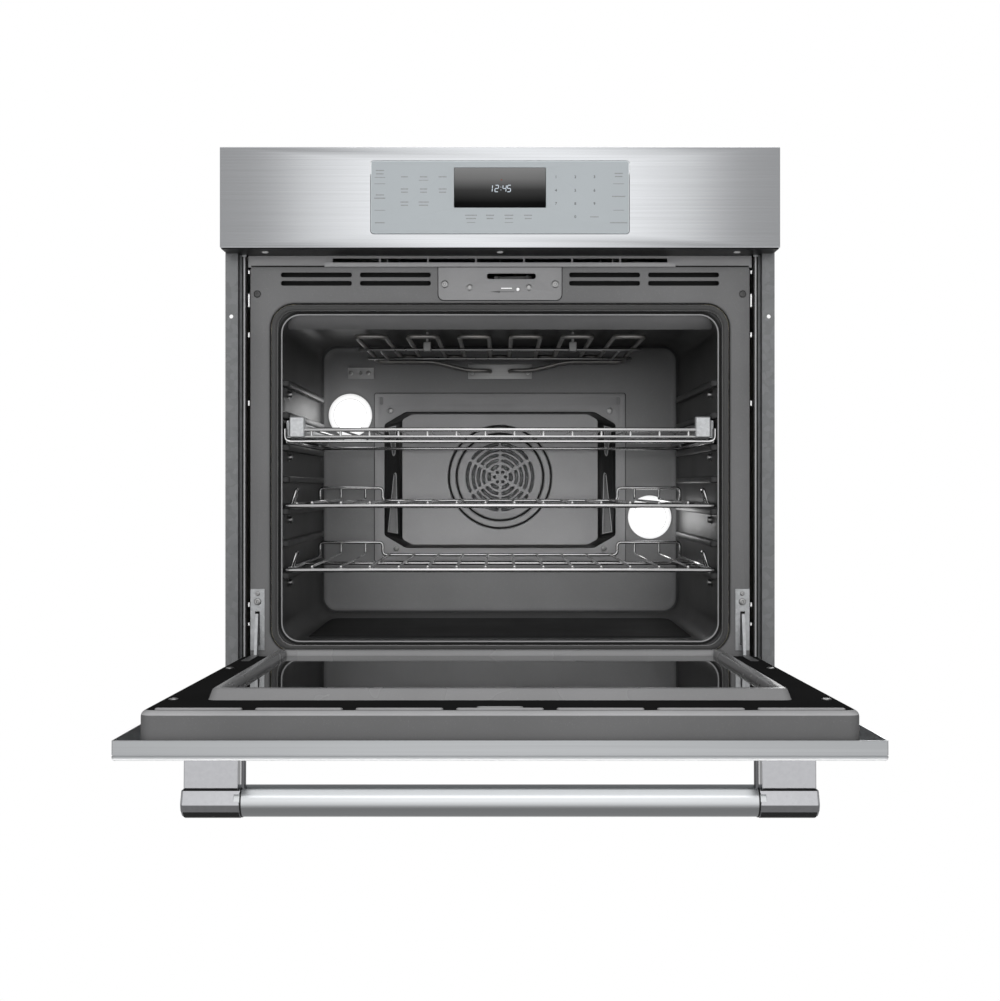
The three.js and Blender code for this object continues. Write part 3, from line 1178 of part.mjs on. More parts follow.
casing();
sideTrims();
bottomTrim();
frontFrame();
ventGrille();
latch();
cavity();
seal();
insulation();
bakeElement();
broilElement();
broilSupport();
temperatureProbe();
fanCover();
convectionFan();
convectionElement();
lamp("upper", -lampX, LAMP_UPPER_Z);
lamp("lower", lampX, LAMP_LOWER_Z);
controls();
coolingBlower();
supply();
hinge("right", (made) => made);
hinge("left", mirrored);
doorShell();
doorHandle();
plainRack("lower_rack", LOWER_RACK_LEDGE);
plainRack("middle_rack", MIDDLE_RACK_LEDGE);
telescopicRack();

// The origin is the middle of the underside of the base.
oven.position.y = -CHASSIS_DEPTH / 2;

export default oven;
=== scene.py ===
# Looks for the built-in wall oven. Sizes are in millimetres from the cabinet face, X to the right,
# Y into the cabinet and Z up from the base. Door pieces are written as they stand when the door is shut.
import json
import math
import random

import bpy
import bmesh
from mathutils import Matrix, Vector
from mathutils.geometry import tessellate_polygon


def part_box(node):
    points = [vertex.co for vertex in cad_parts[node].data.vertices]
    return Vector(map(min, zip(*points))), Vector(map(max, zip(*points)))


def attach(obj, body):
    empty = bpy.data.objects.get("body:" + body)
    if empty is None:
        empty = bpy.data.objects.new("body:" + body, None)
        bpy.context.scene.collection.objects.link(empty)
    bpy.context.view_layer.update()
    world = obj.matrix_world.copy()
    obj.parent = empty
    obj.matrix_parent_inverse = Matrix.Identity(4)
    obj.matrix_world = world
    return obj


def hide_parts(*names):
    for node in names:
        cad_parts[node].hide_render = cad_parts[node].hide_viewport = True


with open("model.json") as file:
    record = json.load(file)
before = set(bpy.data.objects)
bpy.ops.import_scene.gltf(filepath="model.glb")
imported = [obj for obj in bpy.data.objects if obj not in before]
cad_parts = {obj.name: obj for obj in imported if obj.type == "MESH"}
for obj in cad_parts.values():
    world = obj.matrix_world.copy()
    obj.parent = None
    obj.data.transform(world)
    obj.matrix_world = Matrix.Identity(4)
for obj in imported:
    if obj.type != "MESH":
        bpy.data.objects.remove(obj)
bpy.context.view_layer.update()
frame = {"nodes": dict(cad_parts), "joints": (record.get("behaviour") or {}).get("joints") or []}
nodes = frame["nodes"]
joints = {joint["name"]: joint for joint in frame["joints"]}
random.seed(7)

frontProud = 40  # the fascia stands this far out of the cabinet face
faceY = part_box("control_fascia")[0][1] + frontProud / 1000


def inFrame(x, y, z):
    return Vector((x / 1000, y / 1000 + faceY, z / 1000))


def shutToOpen():
    hinge = joints["door_hinge"]
    pivot = Matrix.Translation(Vector(hinge["pos_m"]))
    turn = Matrix.Rotation(-math.radians(hinge["range_deg"][1]), 4, Vector(hinge["axis"]))
    return pivot @ turn @ pivot.inverted()


doorTurn = shutToOpen()
print("frame loaded:", len(nodes), "nodes")


def newMaterial(name):
    material = bpy.data.materials.new(name)
    material.use_nodes = True
    tree = material.node_tree
    return material, tree, tree.nodes["Principled BSDF"]


def addNode(tree, kind, **values):
    node = tree.nodes.new(kind)
    for key, value in values.items():
        if hasattr(node, key):
            setattr(node, key, value)
        else:
            node.inputs[key].default_value = value
    return node


def objectCoordinates(tree, scale=(1, 1, 1), turn=(0, 0, 0)):
    place = addNode(tree, "ShaderNodeTexCoord")
    mapping = addNode(tree, "ShaderNodeMapping")
    mapping.inputs["Scale"].default_value = scale
    mapping.inputs["Rotation"].default_value = turn
    tree.links.new(place.outputs["Object"], mapping.inputs["Vector"])
    return mapping.outputs["Vector"]


def noiseOf(tree, vector, scale, detail=3, rough=0.5):
    noise = addNode(tree, "ShaderNodeTexNoise", Scale=scale, Detail=detail, Roughness=rough)
    tree.links.new(vector, noise.inputs["Vector"])
    return noise.outputs["Fac"]


def rampOf(tree, fac, stops):
    ramp = addNode(tree, "ShaderNodeValToRGB")
    ramp.color_ramp.elements.remove(ramp.color_ramp.elements[1])
    ramp.color_ramp.elements[0].position = stops[0][0]
    ramp.color_ramp.elements[0].color = stops[0][1]
    for position, colour in stops[1:]:
        ramp.color_ramp.elements.new(position).color = colour
    tree.links.new(fac, ramp.inputs["Fac"])
    return ramp.outputs["Color"]


def grey(value, tint=(1, 1, 1)):
    return (value * tint[0], value * tint[1], value * tint[2], 1)


def rangeOf(tree, fac, low, high, start=0, end=1):
    mapRange = addNode(tree, "ShaderNodeMapRange")
    mapRange.inputs["From Min"].default_value = start
    mapRange.inputs["From Max"].default_value = end
    mapRange.inputs["To Min"].default_value = low
    mapRange.inputs["To Max"].default_value = high
    tree.links.new(fac, mapRange.inputs["Value"])
    return mapRange.outputs["Result"]


# Sets the base colour between a darker and a lighter share of one tone.
def mottle(tree, shader, fac, tone, low, high, tint=(1, 1, 1), start=0.3, end=0.7):
    colours = [(start, grey(tone * low, tint)), (end, grey(tone * high, tint))]
    tree.links.new(rampOf(tree, fac, colours), shader.inputs["Base Color"])


def roughen(tree, shader, fac, low, high):
    tree.links.new(rangeOf(tree, fac, low, high), shader.inputs["Roughness"])


def blendOf(tree, kind, first, second):
    mix = addNode(tree, "ShaderNodeMix", data_type="RGBA", blend_type=kind)
    mix.inputs["Factor"].default_value = 1.0
    tree.links.new(first, mix.inputs["A"])
    tree.links.new(second, mix.inputs["B"])
    return mix.outputs["Result"]


# Picks the second shader wherever the factor is one.
def mixShaders(tree, fac, first, second):
    mix = addNode(tree, "ShaderNodeMixShader")
    tree.links.new(fac, mix.inputs["Fac"])
    tree.links.new(first, mix.inputs[1])
    tree.links.new(second, mix.inputs[2])
    return mix.outputs["Shader"]


def bumpOf(tree, shader, height, strength, distance):
    bump = addNode(tree, "ShaderNodeBump", Strength=strength, Distance=distance)
    tree.links.new(height, bump.inputs["Height"])
    tree.links.new(bump.outputs["Normal"], shader.inputs["Normal"])


# Brushed or rolled sheet: fine streaks that run along one axis.
def brushedMetal(name, tone, rough, along="x", tint=(1, 1, 1), streak=0.07, metallic=1.0):
    material, tree, shader = newMaterial(name)
    stretch = {"x": (2.5, 520, 520), "y": (520, 2.5, 520), "z": (520, 520, 2.5)}[along]
    fine = noiseOf(tree, objectCoordinates(tree, stretch), 1.0, 4, 0.65)
    broadStretch = tuple(0.16 * part for part in stretch)
    broad = noiseOf(tree, objectCoordinates(tree, broadStretch), 1.0, 2, 0.5)
    mottle(tree, shader, fine, tone, 1 - streak, 1 + streak, tint)
    roughen(tree, shader, broad, rough * 0.82, rough * 1.2)
    bumpOf(tree, shader, fine, 0.12, 0.00004)
    shader.inputs["Metallic"].default_value = metallic
    return material


# Porcelain enamel: a deep glossy coat with orange peel and the odd fleck.
def enamelCoat(name, tone, rough=0.3, fleck=0.2, gloss=0.4, tint=(1, 1, 1.015), peel=0.05):
    material, tree, shader = newMaterial(name)
    vector = objectCoordinates(tree)
    spots = noiseOf(tree, vector, 900, 1, 0.4)
    clouds = noiseOf(tree, vector, 9, 3, 0.5)
    base = rampOf(tree, clouds, [(0.3, grey(tone * 0.92, tint)), (0.7, grey(tone * 1.08, tint))])
    flecks = rampOf(tree, spots, [(0.66, grey(0)), (0.74, grey(fleck * 0.3))])
    tree.links.new(blendOf(tree, "ADD", base, flecks), shader.inputs["Base Color"])
    roughen(tree, shader, clouds, rough * 0.85, rough * 1.2)
    bumpOf(tree, shader, noiseOf(tree, vector, 160, 2, 0.5), peel, 0.0004)
    shader.inputs["Specular IOR Level"].default_value = gloss
    return material


# Bright wire and polished castings, with faint die marks along them.
def polishedMetal(name, tone, rough, tint=(1, 1, 1), mark=60):
    material, tree, shader = newMaterial(name)
    vector = objectCoordinates(tree)
    smear = noiseOf(tree, vector, mark, 3, 0.6)
    mottle(tree, shader, smear, tone, 0.96, 1.03, tint)
    roughen(tree, shader, smear, rough * 0.85, rough * 1.2)
    bumpOf(tree, shader, noiseOf(tree, vector, 350, 2, 0.5), 0.03, 0.0002)
    shader.inputs["Metallic"].default_value = 1.0
    return material


# Zinc-plated sheet with its frosty spangle.
def zincPlate(name, tone, rough, tint=(0.98, 1, 1.02), spangle=90):
    material, tree, shader = newMaterial(name)
    vector = objectCoordinates(tree)
    cells = addNode(tree, "ShaderNodeTexVoronoi", Scale=spangle)
    tree.links.new(vector, cells.inputs["Vector"])
    patch = noiseOf(tree, vector, 14, 4, 0.6)
    mottle(tree, shader, cells.outputs["Color"], tone, 0.9, 1.06, tint, 0.2, 0.8)
    roughen(tree, shader, patch, rough * 0.8, rough * 1.25)
    bumpOf(tree, shader, patch, 0.05, 0.0006)
    shader.inputs["Metallic"].default_value = 0.9
    return material


# Sheathed heating element, oxidised by use.
def elementSheath(name, tone=0.26):
    material, tree, shader = newMaterial(name)
    vector = objectCoordinates(tree)
    oxide = noiseOf(tree, vector, 38, 5, 0.65)
    dull, warm, pale = grey(tone * 0.8), grey(tone, (1.03, 1, 0.97)), grey(tone * 1.4, (1.05, 1, 0.94))
    colours = rampOf(tree, oxide, [(0.25, dull), (0.5, warm), (0.78, pale)])
    tree.links.new(colours, shader.inputs["Base Color"])
    roughen(tree, shader, oxide, 0.3, 0.5)
    bumpOf(tree, shader, noiseOf(tree, vector, 600, 2, 0.6), 0.1, 0.0002)
    shader.inputs["Metallic"].default_value = 0.85
    return material


# Knitted glass-fibre sleeve of the door seal.
def knittedSeal(name, tone=0.05):
    material, tree, shader = newMaterial(name)
    vector = objectCoordinates(tree, (1, 1, 1), (0.6, 0.6, 0.6))
    knit = addNode(tree, "ShaderNodeTexWave", Scale=260, Distortion=1.5)
    tree.links.new(vector, knit.inputs["Vector"])
    mottle(tree, shader, knit.outputs["Fac"], tone, 0.7, 1.5, (1, 1, 1), 0.2, 0.8)
    roughen(tree, shader, noiseOf(tree, vector, 500, 3, 0.6), 0.4, 0.6)
    bumpOf(tree, shader, knit.outputs["Fac"], 0.25, 0.0006)
    shader.inputs["Sheen Weight"].default_value = 0.3
    return material


def fibreWool(name, tint=(0.78, 0.72, 0.52)):
    material, tree, shader = newMaterial(name)
    vector = objectCoordinates(tree, (1, 1, 3))
    tufts = noiseOf(tree, vector, 90, 6, 0.7)
    mottle(tree, shader, tufts, 1, 0.6, 1, tint)
    roughen(tree, shader, tufts, 0.85, 1.0)
    bumpOf(tree, shader, tufts, 0.8, 0.004)
    return material


def darkGlass(name, tone=0.006, rough=0.03):
    material, tree, shader = newMaterial(name)
    vector = objectCoordinates(tree)
    haze = noiseOf(tree, vector, 24, 3, 0.5)
    mottle(tree, shader, haze, tone, 0.8, 1.3)
    roughen(tree, shader, haze, rough * 0.6, rough * 1.6)
    shader.inputs["IOR"].default_value = 1.52
    shader.inputs["Coat Weight"].default_value = 0.4
    shader.inputs["Coat Roughness"].default_value = 0.02
    return material


# Satin printed glass of the touch panel.
def satinGlass(name, tone=0.46, tint=(0.93, 1.0, 1.04)):
    material, tree, shader = newMaterial(name)
    vector = objectCoordinates(tree)
    grain = noiseOf(tree, vector, 1400, 2, 0.5)
    mottle(tree, shader, grain, tone, 0.97, 1.03, tint)
    roughen(tree, shader, noiseOf(tree, vector, 10, 2, 0.5), 0.42, 0.5)
    bumpOf(tree, shader, grain, 0.02, 0.0001)
    shader.inputs["Specular IOR Level"].default_value = 0.25
    return material


# Glass over the display, with a painted reflection that fades down from its top edge.
def paintedReflectionGlass(name, bottom, top):
    reflectionFade = [(0, 0.001), (0.12, 0.002), (0.44, 0.028), (0.72, 0.11), (1, 0.155)]
    material, tree, shader = newMaterial(name)
    vector = objectCoordinates(tree)
    parts = addNode(tree, "ShaderNodeSeparateXYZ")
    tree.links.new(vector, parts.inputs["Vector"])
    height = rangeOf(tree, parts.outputs["Z"], 0, 1, bottom / 1000, top / 1000)
    stops = [(place, grey(tone)) for place, tone in reflectionFade]
    tree.links.new(rampOf(tree, height, stops), shader.inputs["Base Color"])
    roughen(tree, shader, noiseOf(tree, vector, 24, 3), 0.3, 0.4)
    shader.inputs["Specular IOR Level"].default_value = 0.05
    return material


def inkPrint(name, tone, rough=0.5):
    material, tree, shader = newMaterial(name)
    vector = objectCoordinates(tree)
    grain = noiseOf(tree, vector, 2500, 2, 0.5)
    mottle(tree, shader, grain, tone, 0.85, 1.15)
    roughen(tree, shader, grain, rough * 0.9, rough * 1.1)
    return material


def litGlass(name, colour, strength, base=0.9):
    material, tree, shader = newMaterial(name)
    vector = objectCoordinates(tree)
    ripple = noiseOf(tree, vector, 60, 2, 0.5)
    low = tuple(part * 0.92 for part in colour) + (1,)
    tree.links.new(rampOf(tree, ripple, [(0.3, low), (0.7, (*colour, 1))]), shader.inputs["Emission Color"])
    roughen(tree, shader, ripple, 0.05, 0.12)
    shader.inputs["Base Color"].default_value = grey(base)
    shader.inputs["Emission Strength"].default_value = strength
    bumpOf(tree, shader, ripple, 0.1, 0.001)
    return material


def circuitBoard(name):
    material, tree, shader = newMaterial(name)
    vector = objectCoordinates(tree)
    tracks = addNode(tree, "ShaderNodeTexBrick", Scale=70)
    tracks.inputs["Color1"].default_value = (0.02, 0.16, 0.06, 1)
    tracks.inputs["Color2"].default_value = (0.03, 0.2, 0.08, 1)
    tracks.inputs["Mortar"].default_value = (0.10, 0.34, 0.16, 1)
    tree.links.new(vector, tracks.inputs["Vector"])
    tree.links.new(tracks.outputs["Color"], shader.inputs["Base Color"])
    roughen(tree, shader, noiseOf(tree, vector, 50), 0.35, 0.55)
    return material


# A white sweep that looks evenly lit, and still takes soft light and shade.
def groundPaint(name, tone):
    material, tree, shader = newMaterial(name)
    shader.inputs["Base Color"].default_value = grey(tone)
    shader.inputs["Roughness"].default_value = 0.9
    shader.inputs["Specular IOR Level"].default_value = 0.1
    place = addNode(tree, "ShaderNodeSeparateXYZ")
    tree.links.new(objectCoordinates(tree), place.inputs["Vector"])
    depth = rangeOf(tree, place.outputs["Y"], 0, 1, -4.5, 0.5)
    sweep = [(0, 0.9), (0.2, 0.9), (0.36, 0.62), (0.6, 0.22), (0.8, 0.26), (1, 0.4)]
    mirrored = addNode(tree, "ShaderNodeEmission", Strength=1.0)
    tree.links.new(rampOf(tree, depth, [(at, grey(level)) for at, level in sweep]), mirrored.inputs["Color"])
    seen = addNode(tree, "ShaderNodeEmission", Strength=1.0)
    rays = addNode(tree, "ShaderNodeLightPath")
    gloss = mixShaders(tree, rays.outputs["Is Glossy Ray"], shader.outputs["BSDF"],
                       mirrored.outputs["Emission"])
    whole = mixShaders(tree, rays.outputs["Is Camera Ray"], gloss, seen.outputs["Emission"])
    tree.links.new(whole, tree.nodes["Material Output"].inputs["Surface"])
    return material


stainlessFront = brushedMetal("brushedStainlessFront", 0.66, 0.19, "x", (0.98, 1.0, 1.03), 0.05)
stainlessDoor = brushedMetal("brushedStainlessDoor", 0.58, 0.34, "x", (0.975, 1.0, 1.025), 0.05)
# A paler, less metallic copy of the door steel, used as a painted highlight on the skin's rounded front edge.
skinEdgeHighlight = brushedMetal("doorSkinEdgeHighlight", 0.86, 0.45, "x", (0.99, 1.0, 1.01), 0.03, 0.35)
satinBar = brushedMetal("satinHandleBar", 0.72, 0.26, "x", (0.975, 1.0, 1.02), 0.02)
polishedCap = polishedMetal("polishedHandleCap", 0.58, 0.20, (0.985, 0.99, 1.03), 200)
# Near black: painted dark reflections along the handle caps, and the dark washer at each cap's inner end.
capReflectionAndWasher = enamelCoat("capReflectionAndWasher", 0.006, 0.3, 0.02, 0.3)
plateShade = brushedMetal("handlePlate", 0.16, 0.4, "y", (0.98, 0.98, 1.03), 0.05)
frameEnamel = enamelCoat("frameEnamel", 0.108, 0.42, 0.1, 0.3)
bracketEnamel = enamelCoat("bracketEnamel", 0.07, 0.42, 0.1, 0.3)
latchEnamel = enamelCoat("latchEnamel", 0.20, 0.42, 0.1, 0.3)
# A lighter copy of the cavity enamel: painted light on the roof header's front-facing slope.
headerLitEnamel = enamelCoat("headerLitEnamel", 0.16, 0.36, 0.1, 0.4)
lipEnamel = enamelCoat("lipEnamel", 0.20, 0.4, 0.1, 0.3)
cavityEnamel = enamelCoat("cavityEnamel", 0.034, 0.36, 0.12, 0.25)
# A darker, duller copy of the cavity enamel: painted shade on the floor.
floorShadedEnamel = enamelCoat("floorShadedEnamel", 0.018, 0.55, 0.06, 0.06)
# A lighter copy of the cavity enamel: painted light on the back wall, which faces the front lamps.
backLitEnamel = enamelCoat("backLitEnamel", 0.10, 0.36, 0.16, 0.3)
coverEnamel = enamelCoat("coverEnamel", 0.150, 0.42, 0.12, 0.3)
# Near black: painted shade on the fan cover's slopes and under the fascia.
paintedShadeEnamel = enamelCoat("paintedShadeEnamel", 0.009, 0.40, 0.1, 0.2)
doorEnamel = enamelCoat("doorEnamel", 0.016, 0.60, 0.02, 0.0)
# A lighter copy of the door enamel: painted light on the liner's rim.
rimLitEnamel = enamelCoat("rimLitEnamel", 0.078, 0.40, 0.08, 0.3)
# A pale enamel for painted highlights on bends, lips and folded edges.
highlightEnamel = enamelCoat("highlightEnamel", 0.26, 0.34, 0.08, 0.4)
ringEnamel = enamelCoat("ringEnamel", 0.17, 0.26, 0.08, 0.5)
rackChrome = polishedMetal("rackChrome", 0.80, 0.12)
slideSteel = zincPlate("slideSteel", 0.50, 0.30, spangle=200)
blockNickel = zincPlate("blockNickel", 0.62, 0.40, spangle=260)
zincSheet = zincPlate("zincSheet", 0.52, 0.42)
zincTrim = zincPlate("zincTrim", 0.235, 0.46, spangle=140)
zincHinge = zincPlate("zincHinge", 0.50, 0.36, spangle=220)
fanSteel = zincPlate("fanSteel", 0.46, 0.55, spangle=200)
plateSteel = brushedMetal("fixingPlateSteel", 0.42, 0.40, "x", (1, 1, 1), 0.08)
# Painted dark as painted shade, for the hook that sits in the latch slot.
shadedHookSteel = brushedMetal("latchHookShadedSteel", 0.10, 0.40, "x", (1, 1, 1), 0.08)
screwSteel = polishedMetal("screwSteel", 0.42, 0.28, (1, 1, 1), 120)
darkScrew = polishedMetal("darkScrew", 0.12, 0.35, (1, 1, 1), 120)
sheath = elementSheath("elementSheath", 0.30)
sealKnit = knittedSeal("sealKnit", 0.028)
wool = fibreWool("mineralWool")
doorGlass = darkGlass("doorGlass")
displayGlass = paintedReflectionGlass("displayGlass", 658.3, 711.7)
touchGlass = satinGlass("touchGlass", 0.335)
touchEdge = satinGlass("touchEdge", 0.62)
wordInk = inkPrint("wordInk", 0.17)
numeralInk = inkPrint("numeralInk", 0.06)
lineInk = inkPrint("lineInk", 0.16)
clockGlow = litGlass("clockGlow", (0.80, 0.90, 1.0), 0.85, 0.02)
statusGlow = litGlass("statusGlow", (0.42, 0.12, 0.08), 0.35, 0.02)
lampGlow = litGlass("lampGlow", (1.0, 1.0, 1.0), 1.5, 0.5)
lampRimGlow = litGlass("lampRimGlow", (1.0, 1.0, 1.0), 0.70, 0.25)
lampJointGlow = litGlass("lampJointGlow", (1.0, 1.0, 1.0), 0.46, 0.2)
boardGreen = circuitBoard("boardGreen")
shadePaint = inkPrint("shadePaint", 0.004, 0.7)
# Plain white for the switch plunger and stamped mark, and for painted glints in the gap beside the frame.
whiteAndGlintPaint = inkPrint("whiteAndGlintPaint", 0.8, 0.35)
# Pale paint on the fascia screws as painted glints.
screwGlintPaint = inkPrint("screwGlintPaint", 0.55, 0.3)
print("materials made:", len(bpy.data.materials))


def finishPiece(name, mesh, material, body, sharp=35):
    mesh.validate()
    mesh.transform(doorTurn if body == "door" else Matrix.Identity(4))
    mesh.materials.clear()
    mesh.materials.append(material)
    mesh.shade_smooth()
    mesh.set_sharp_from_angle(angle=math.radians(sharp))
    piece = bpy.data.objects.new(name, mesh)
    bpy.context.scene.collection.objects.link(piece)
    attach(piece, body)
    return piece


def meshFrom(name, points, faces):
    mesh = bpy.data.meshes.new(name)
    mesh.from_pydata([inFrame(*point) for point in points], [], faces)
    tidy = bmesh.new()
    tidy.from_mesh(mesh)
    bmesh.ops.remove_doubles(tidy, verts=tidy.verts, dist=0.000002)
    bmesh.ops.recalc_face_normals(tidy, faces=tidy.faces)
    tidy.to_mesh(mesh)
    tidy.free()
    return mesh


# Gathers parts, each a list of points and a list of faces, into one mesh.
class Parts:
    def __init__(self):
        self.points = []
        self.faces = []

    def add(self, points, faces):
        start = len(self.points)
        self.points.extend(points)
        self.faces.extend([tuple(start + i for i in face) for face in faces])
        return self

    def piece(self, name, material, body, slot, sharp=35):
        return finishPiece(name, meshFrom(name, self.points, self.faces), material, body, sharp)


def roundedRing(x0, x1, z0, z1, radius, steps=8):
    ring = []
    left, right, low, high = x0 + radius, x1 - radius, z0 + radius, z1 - radius
    corners = [(right, high, 0), (left, high, 90), (left, low, 180), (right, low, 270)]
    for x, z, start in corners:
        for i in range(steps + 1):
            turn = math.radians(start + 90 * i / steps)
            ring.append((x + radius * math.cos(turn), z + radius * math.sin(turn)))
    return ring


def circleRing(x, z, radius, steps=20):
    return [(x + radius * math.cos(2 * math.pi * i / steps), z + radius * math.sin(2 * math.pi * i / steps))
            for i in range(steps)]


# Rings of points joined by walls. Each ring is a list of (x, y, z).
def loft(rings, closeFirst=False, closeLast=False):
    points = [point for ring in rings for point in ring]
    n = len(rings[0])
    faces = []
    for r in range(len(rings) - 1):
        for i in range(n):
            j = (i + 1) % n
            faces.append((r * n + i, r * n + j, (r + 1) * n + j, (r + 1) * n + i))
    if closeFirst:
        faces.append(tuple(range(n)))
    if closeLast:
        faces.append(tuple(range((len(rings) - 1) * n, len(rings) * n)))
    return points, faces


def atY(ring, y):
    return [(x, y, z) for x, z in ring]


# The walls between flat rings, each given with its depth.
def walls(*stages, closeFirst=False, closeLast=False):
    return loft([atY(ring, y) for ring, y in stages], closeFirst, closeLast)


# Triangles that fill the area between a first ring and the holes after it.
def fillRings(rims):
    tris = tessellate_polygon([[Vector((u, v, 0)) for u, v in rim] for rim in rims])
    return [point for rim in rims for point in rim], [tuple(tri) for tri in tris]


# A sheet drawn in two flat coordinates and then placed, with walls through its thickness.
def placedSheet(outline, holes, place, depth):
    rims = [outline, *holes]
    flat, tris = fillRings(rims)
    count = len(flat)
    points = [place(u, v, 0) for u, v in flat] + [place(u, v, depth) for u, v in flat]
    faces = tris + [tuple(count + i for i in reversed(tri)) for tri in tris]
    start = 0
    for rim in rims:
        n = len(rim)
        for i in range(n):
            j = (i + 1) % n
            faces.append((start + i, start + j, count + start + j, count + start + i))
        start += n
    return points, faces


# A flat sheet across Y with holes, both faces and all walls.
def sheetWithHoles(outline, holes, y0, y1):
    return placedSheet(outline, holes, lambda x, z, w: (x, y0 + w, z), y1 - y0)


# One flat face across Y, with holes.
def flatFace(rims, y):
    flat, tris = fillRings(rims)
    return atY(flat, y), tris


# The same with rounded front edges, where edge is the rounding in millimetres.
def pressedSheet(outline, holes, y0, y1, edge=0.5):
    parts = Parts()
    rims = [shrink(outline, edge), *[shrink(hole, -edge) for hole in holes]]
    parts.add(*flatFace(rims, y0))
    for inner, rim in zip(rims, [outline, *holes]):
        middle = [((a[0] + 2.4 * b[0]) / 3.4, (a[1] + 2.4 * b[1]) / 3.4) for a, b in zip(inner, rim)]
        parts.add(*walls((inner, y0), (middle, y0 + edge * 0.3), (rim, y0 + edge), (rim, y1)))
    return parts


# Moves every point of a ring inwards along its corner's bisector.
def shrink(ring, by):
    area = sum(a[0] * b[1] - b[0] * a[1] for a, b in zip(ring, ring[1:] + ring[:1]))
    side = 1 if area > 0 else -1
    out = []
    n = len(ring)
    for i in range(n):
        before, here, after = Vector(ring[i - 1]), Vector(ring[i]), Vector(ring[(i + 1) % n])
        into, away = here - before, after - here
        if into.length < 1e-6:
            into = away
        if away.length < 1e-6:
            away = into
        a, b = into.normalized(), away.normalized()
        normal = Vector((-(a.y + b.y), a.x + b.x)) * side
        if normal.length < 1e-6:
            normal = Vector((-a.y, a.x)) * side
        normal.normalize()
        lean = max(0.5, abs(normal.dot(Vector((-a.y, a.x)))))
        moved = here + normal * by / lean
        out.append((moved.x, moved.y))
    return out


# Corner points with the inner corners rounded to radius.
def bent(corners, radius, steps=6, closed=False):
    at = [Vector(corner) for corner in corners]
    n = len(at)
    points = [] if closed else [at[0]]
    order = range(n) if closed else range(1, n - 1)
    for i in order:
        here, before, after = at[i], at[i - 1], at[(i + 1) % n]
        into, away = before - here, after - here
        reach = min(radius, into.length * 0.49, away.length * 0.49)
        start, end = here + into.normalized() * reach, here + away.normalized() * reach
        for k in range(steps + 1):
            t = k / steps
            points.append(start * (1 - t) ** 2 + here * 2 * t * (1 - t) + end * t ** 2)
    if not closed:
        points.append(at[-1])
    return points


# A round tube along points, with domed ends unless it closes on itself.
def tube(points, radius, sides=12, closed=False):
    path = [Vector(point) for point in points]
    path = [p for i, p in enumerate(path) if i == 0 or (p - path[i - 1]).length > 1e-4]
    n = len(path)
    rings = []
    normal = None
    for i in range(n):
        if closed:
            tangent = (path[(i + 1) % n] - path[i - 1]).normalized()
        else:
            tangent = (path[min(i + 1, n - 1)] - path[max(i - 1, 0)]).normalized()
        if normal is None:
            normal = tangent.orthogonal().normalized()
        normal = (normal - tangent * normal.dot(tangent)).normalized()
        side = tangent.cross(normal)
        widths = [(0.0, radius)]
        if not closed and i in (0, n - 1):
            back = -1 if i == 0 else 1
            cap = [(back * radius * 0.45 * math.sin(a), radius * math.cos(a)) for a in (0.45, 0.95, 1.35)]
            widths = [(0.0, radius), *cap] if i else [*reversed(cap), (0.0, radius)]
        for shift, width in widths:
            centre = path[i] + tangent * shift
            rings.append([tuple(centre + normal * width * math.cos(2 * math.pi * k / sides)
                                + side * width * math.sin(2 * math.pi * k / sides)) for k in range(sides)])
    if closed:
        rings.append(rings[0])
        return loft(rings)
    return loft(rings, True, True)


def block(x0, x1, y0, y1, z0, z1, edge=0.6):
    ring = roundedRing(x0, x1, z0, z1, edge + 0.01, 2)
    inner = shrink(ring, edge)
    stages = [(inner, y0), (ring, y0 + edge), (ring, y1 - edge), (inner, y1)]
    return walls(*stages, closeFirst=True, closeLast=True)


# A block on one side of the oven, from near to far off its middle.
def sideBlock(side, near, far, y0, y1, z0, z1, edge=0.6):
    x0, x1 = sorted((side * near, side * far))
    return block(x0, x1, y0, y1, z0, z1, edge)


# Turns a profile of (radius, depth) round an axis along Y.
def turned(x, y, z, profile, steps=24):
    rings = [atY(circleRing(x, z, radius, steps), y + depth) for radius, depth in profile]
    return loft(rings, True, True)


# Turns a profile of (radius, x) round an axis along X.
def turnedX(y, z, profile, steps=32):
    rings = [[(x, u, v) for u, v in circleRing(y, z, radius, steps)] for radius, x in profile]
    return loft(rings, True, True)


# Turns a profile of (radius, z) round an upright axis.
def turnedZ(x, y, profile, steps=18):
    rings = [[(u, v, z) for u, v in circleRing(x, y, radius, steps)] for radius, z in profile]
    return loft(rings, True, True)


def keep(node, material, edge=0.0):
    piece = nodes[node]
    piece.data.materials.clear()
    piece.data.materials.append(material)
    if edge:
        bevel = piece.modifiers.new("edge", "BEVEL")
        bevel.width = edge / 1000
        bevel.segments = 2
        bevel.limit_method = "ANGLE"
        bevel.angle_limit = math.radians(40)
        bevel.harden_normals = True


# A pan-head screw on a face that looks along -Y, with a cross recess.
def screwHead(parts, x, y, z, radius=4.4, rise=1.7):
    parts.add(*turned(x, y, z, [(radius, 0.2), (radius, -rise * 0.45), (radius * 0.86, -rise * 0.85),
                                (radius * 0.6, -rise), (radius * 0.42, -rise), (radius * 0.3, -rise * 0.45),
                                (0.05, -rise * 0.4)], 18))


print("tools ready")


def standCamera():
    view = {"lens": 50, "distance": 1915, "height": 284, "horizonShift": -0.0155}
    data = bpy.data.cameras.new("camera")
    data.lens = view["lens"]
    data.sensor_width = 36
    data.shift_y = view["horizonShift"]
    camera = bpy.data.objects.new("camera", data)
    camera.location = inFrame(0, -view["distance"], view["height"])
    camera.rotation_euler = (math.radians(90), 0, 0)
    bpy.context.scene.collection.objects.link(camera)
    bpy.context.scene.camera = camera


standCamera()


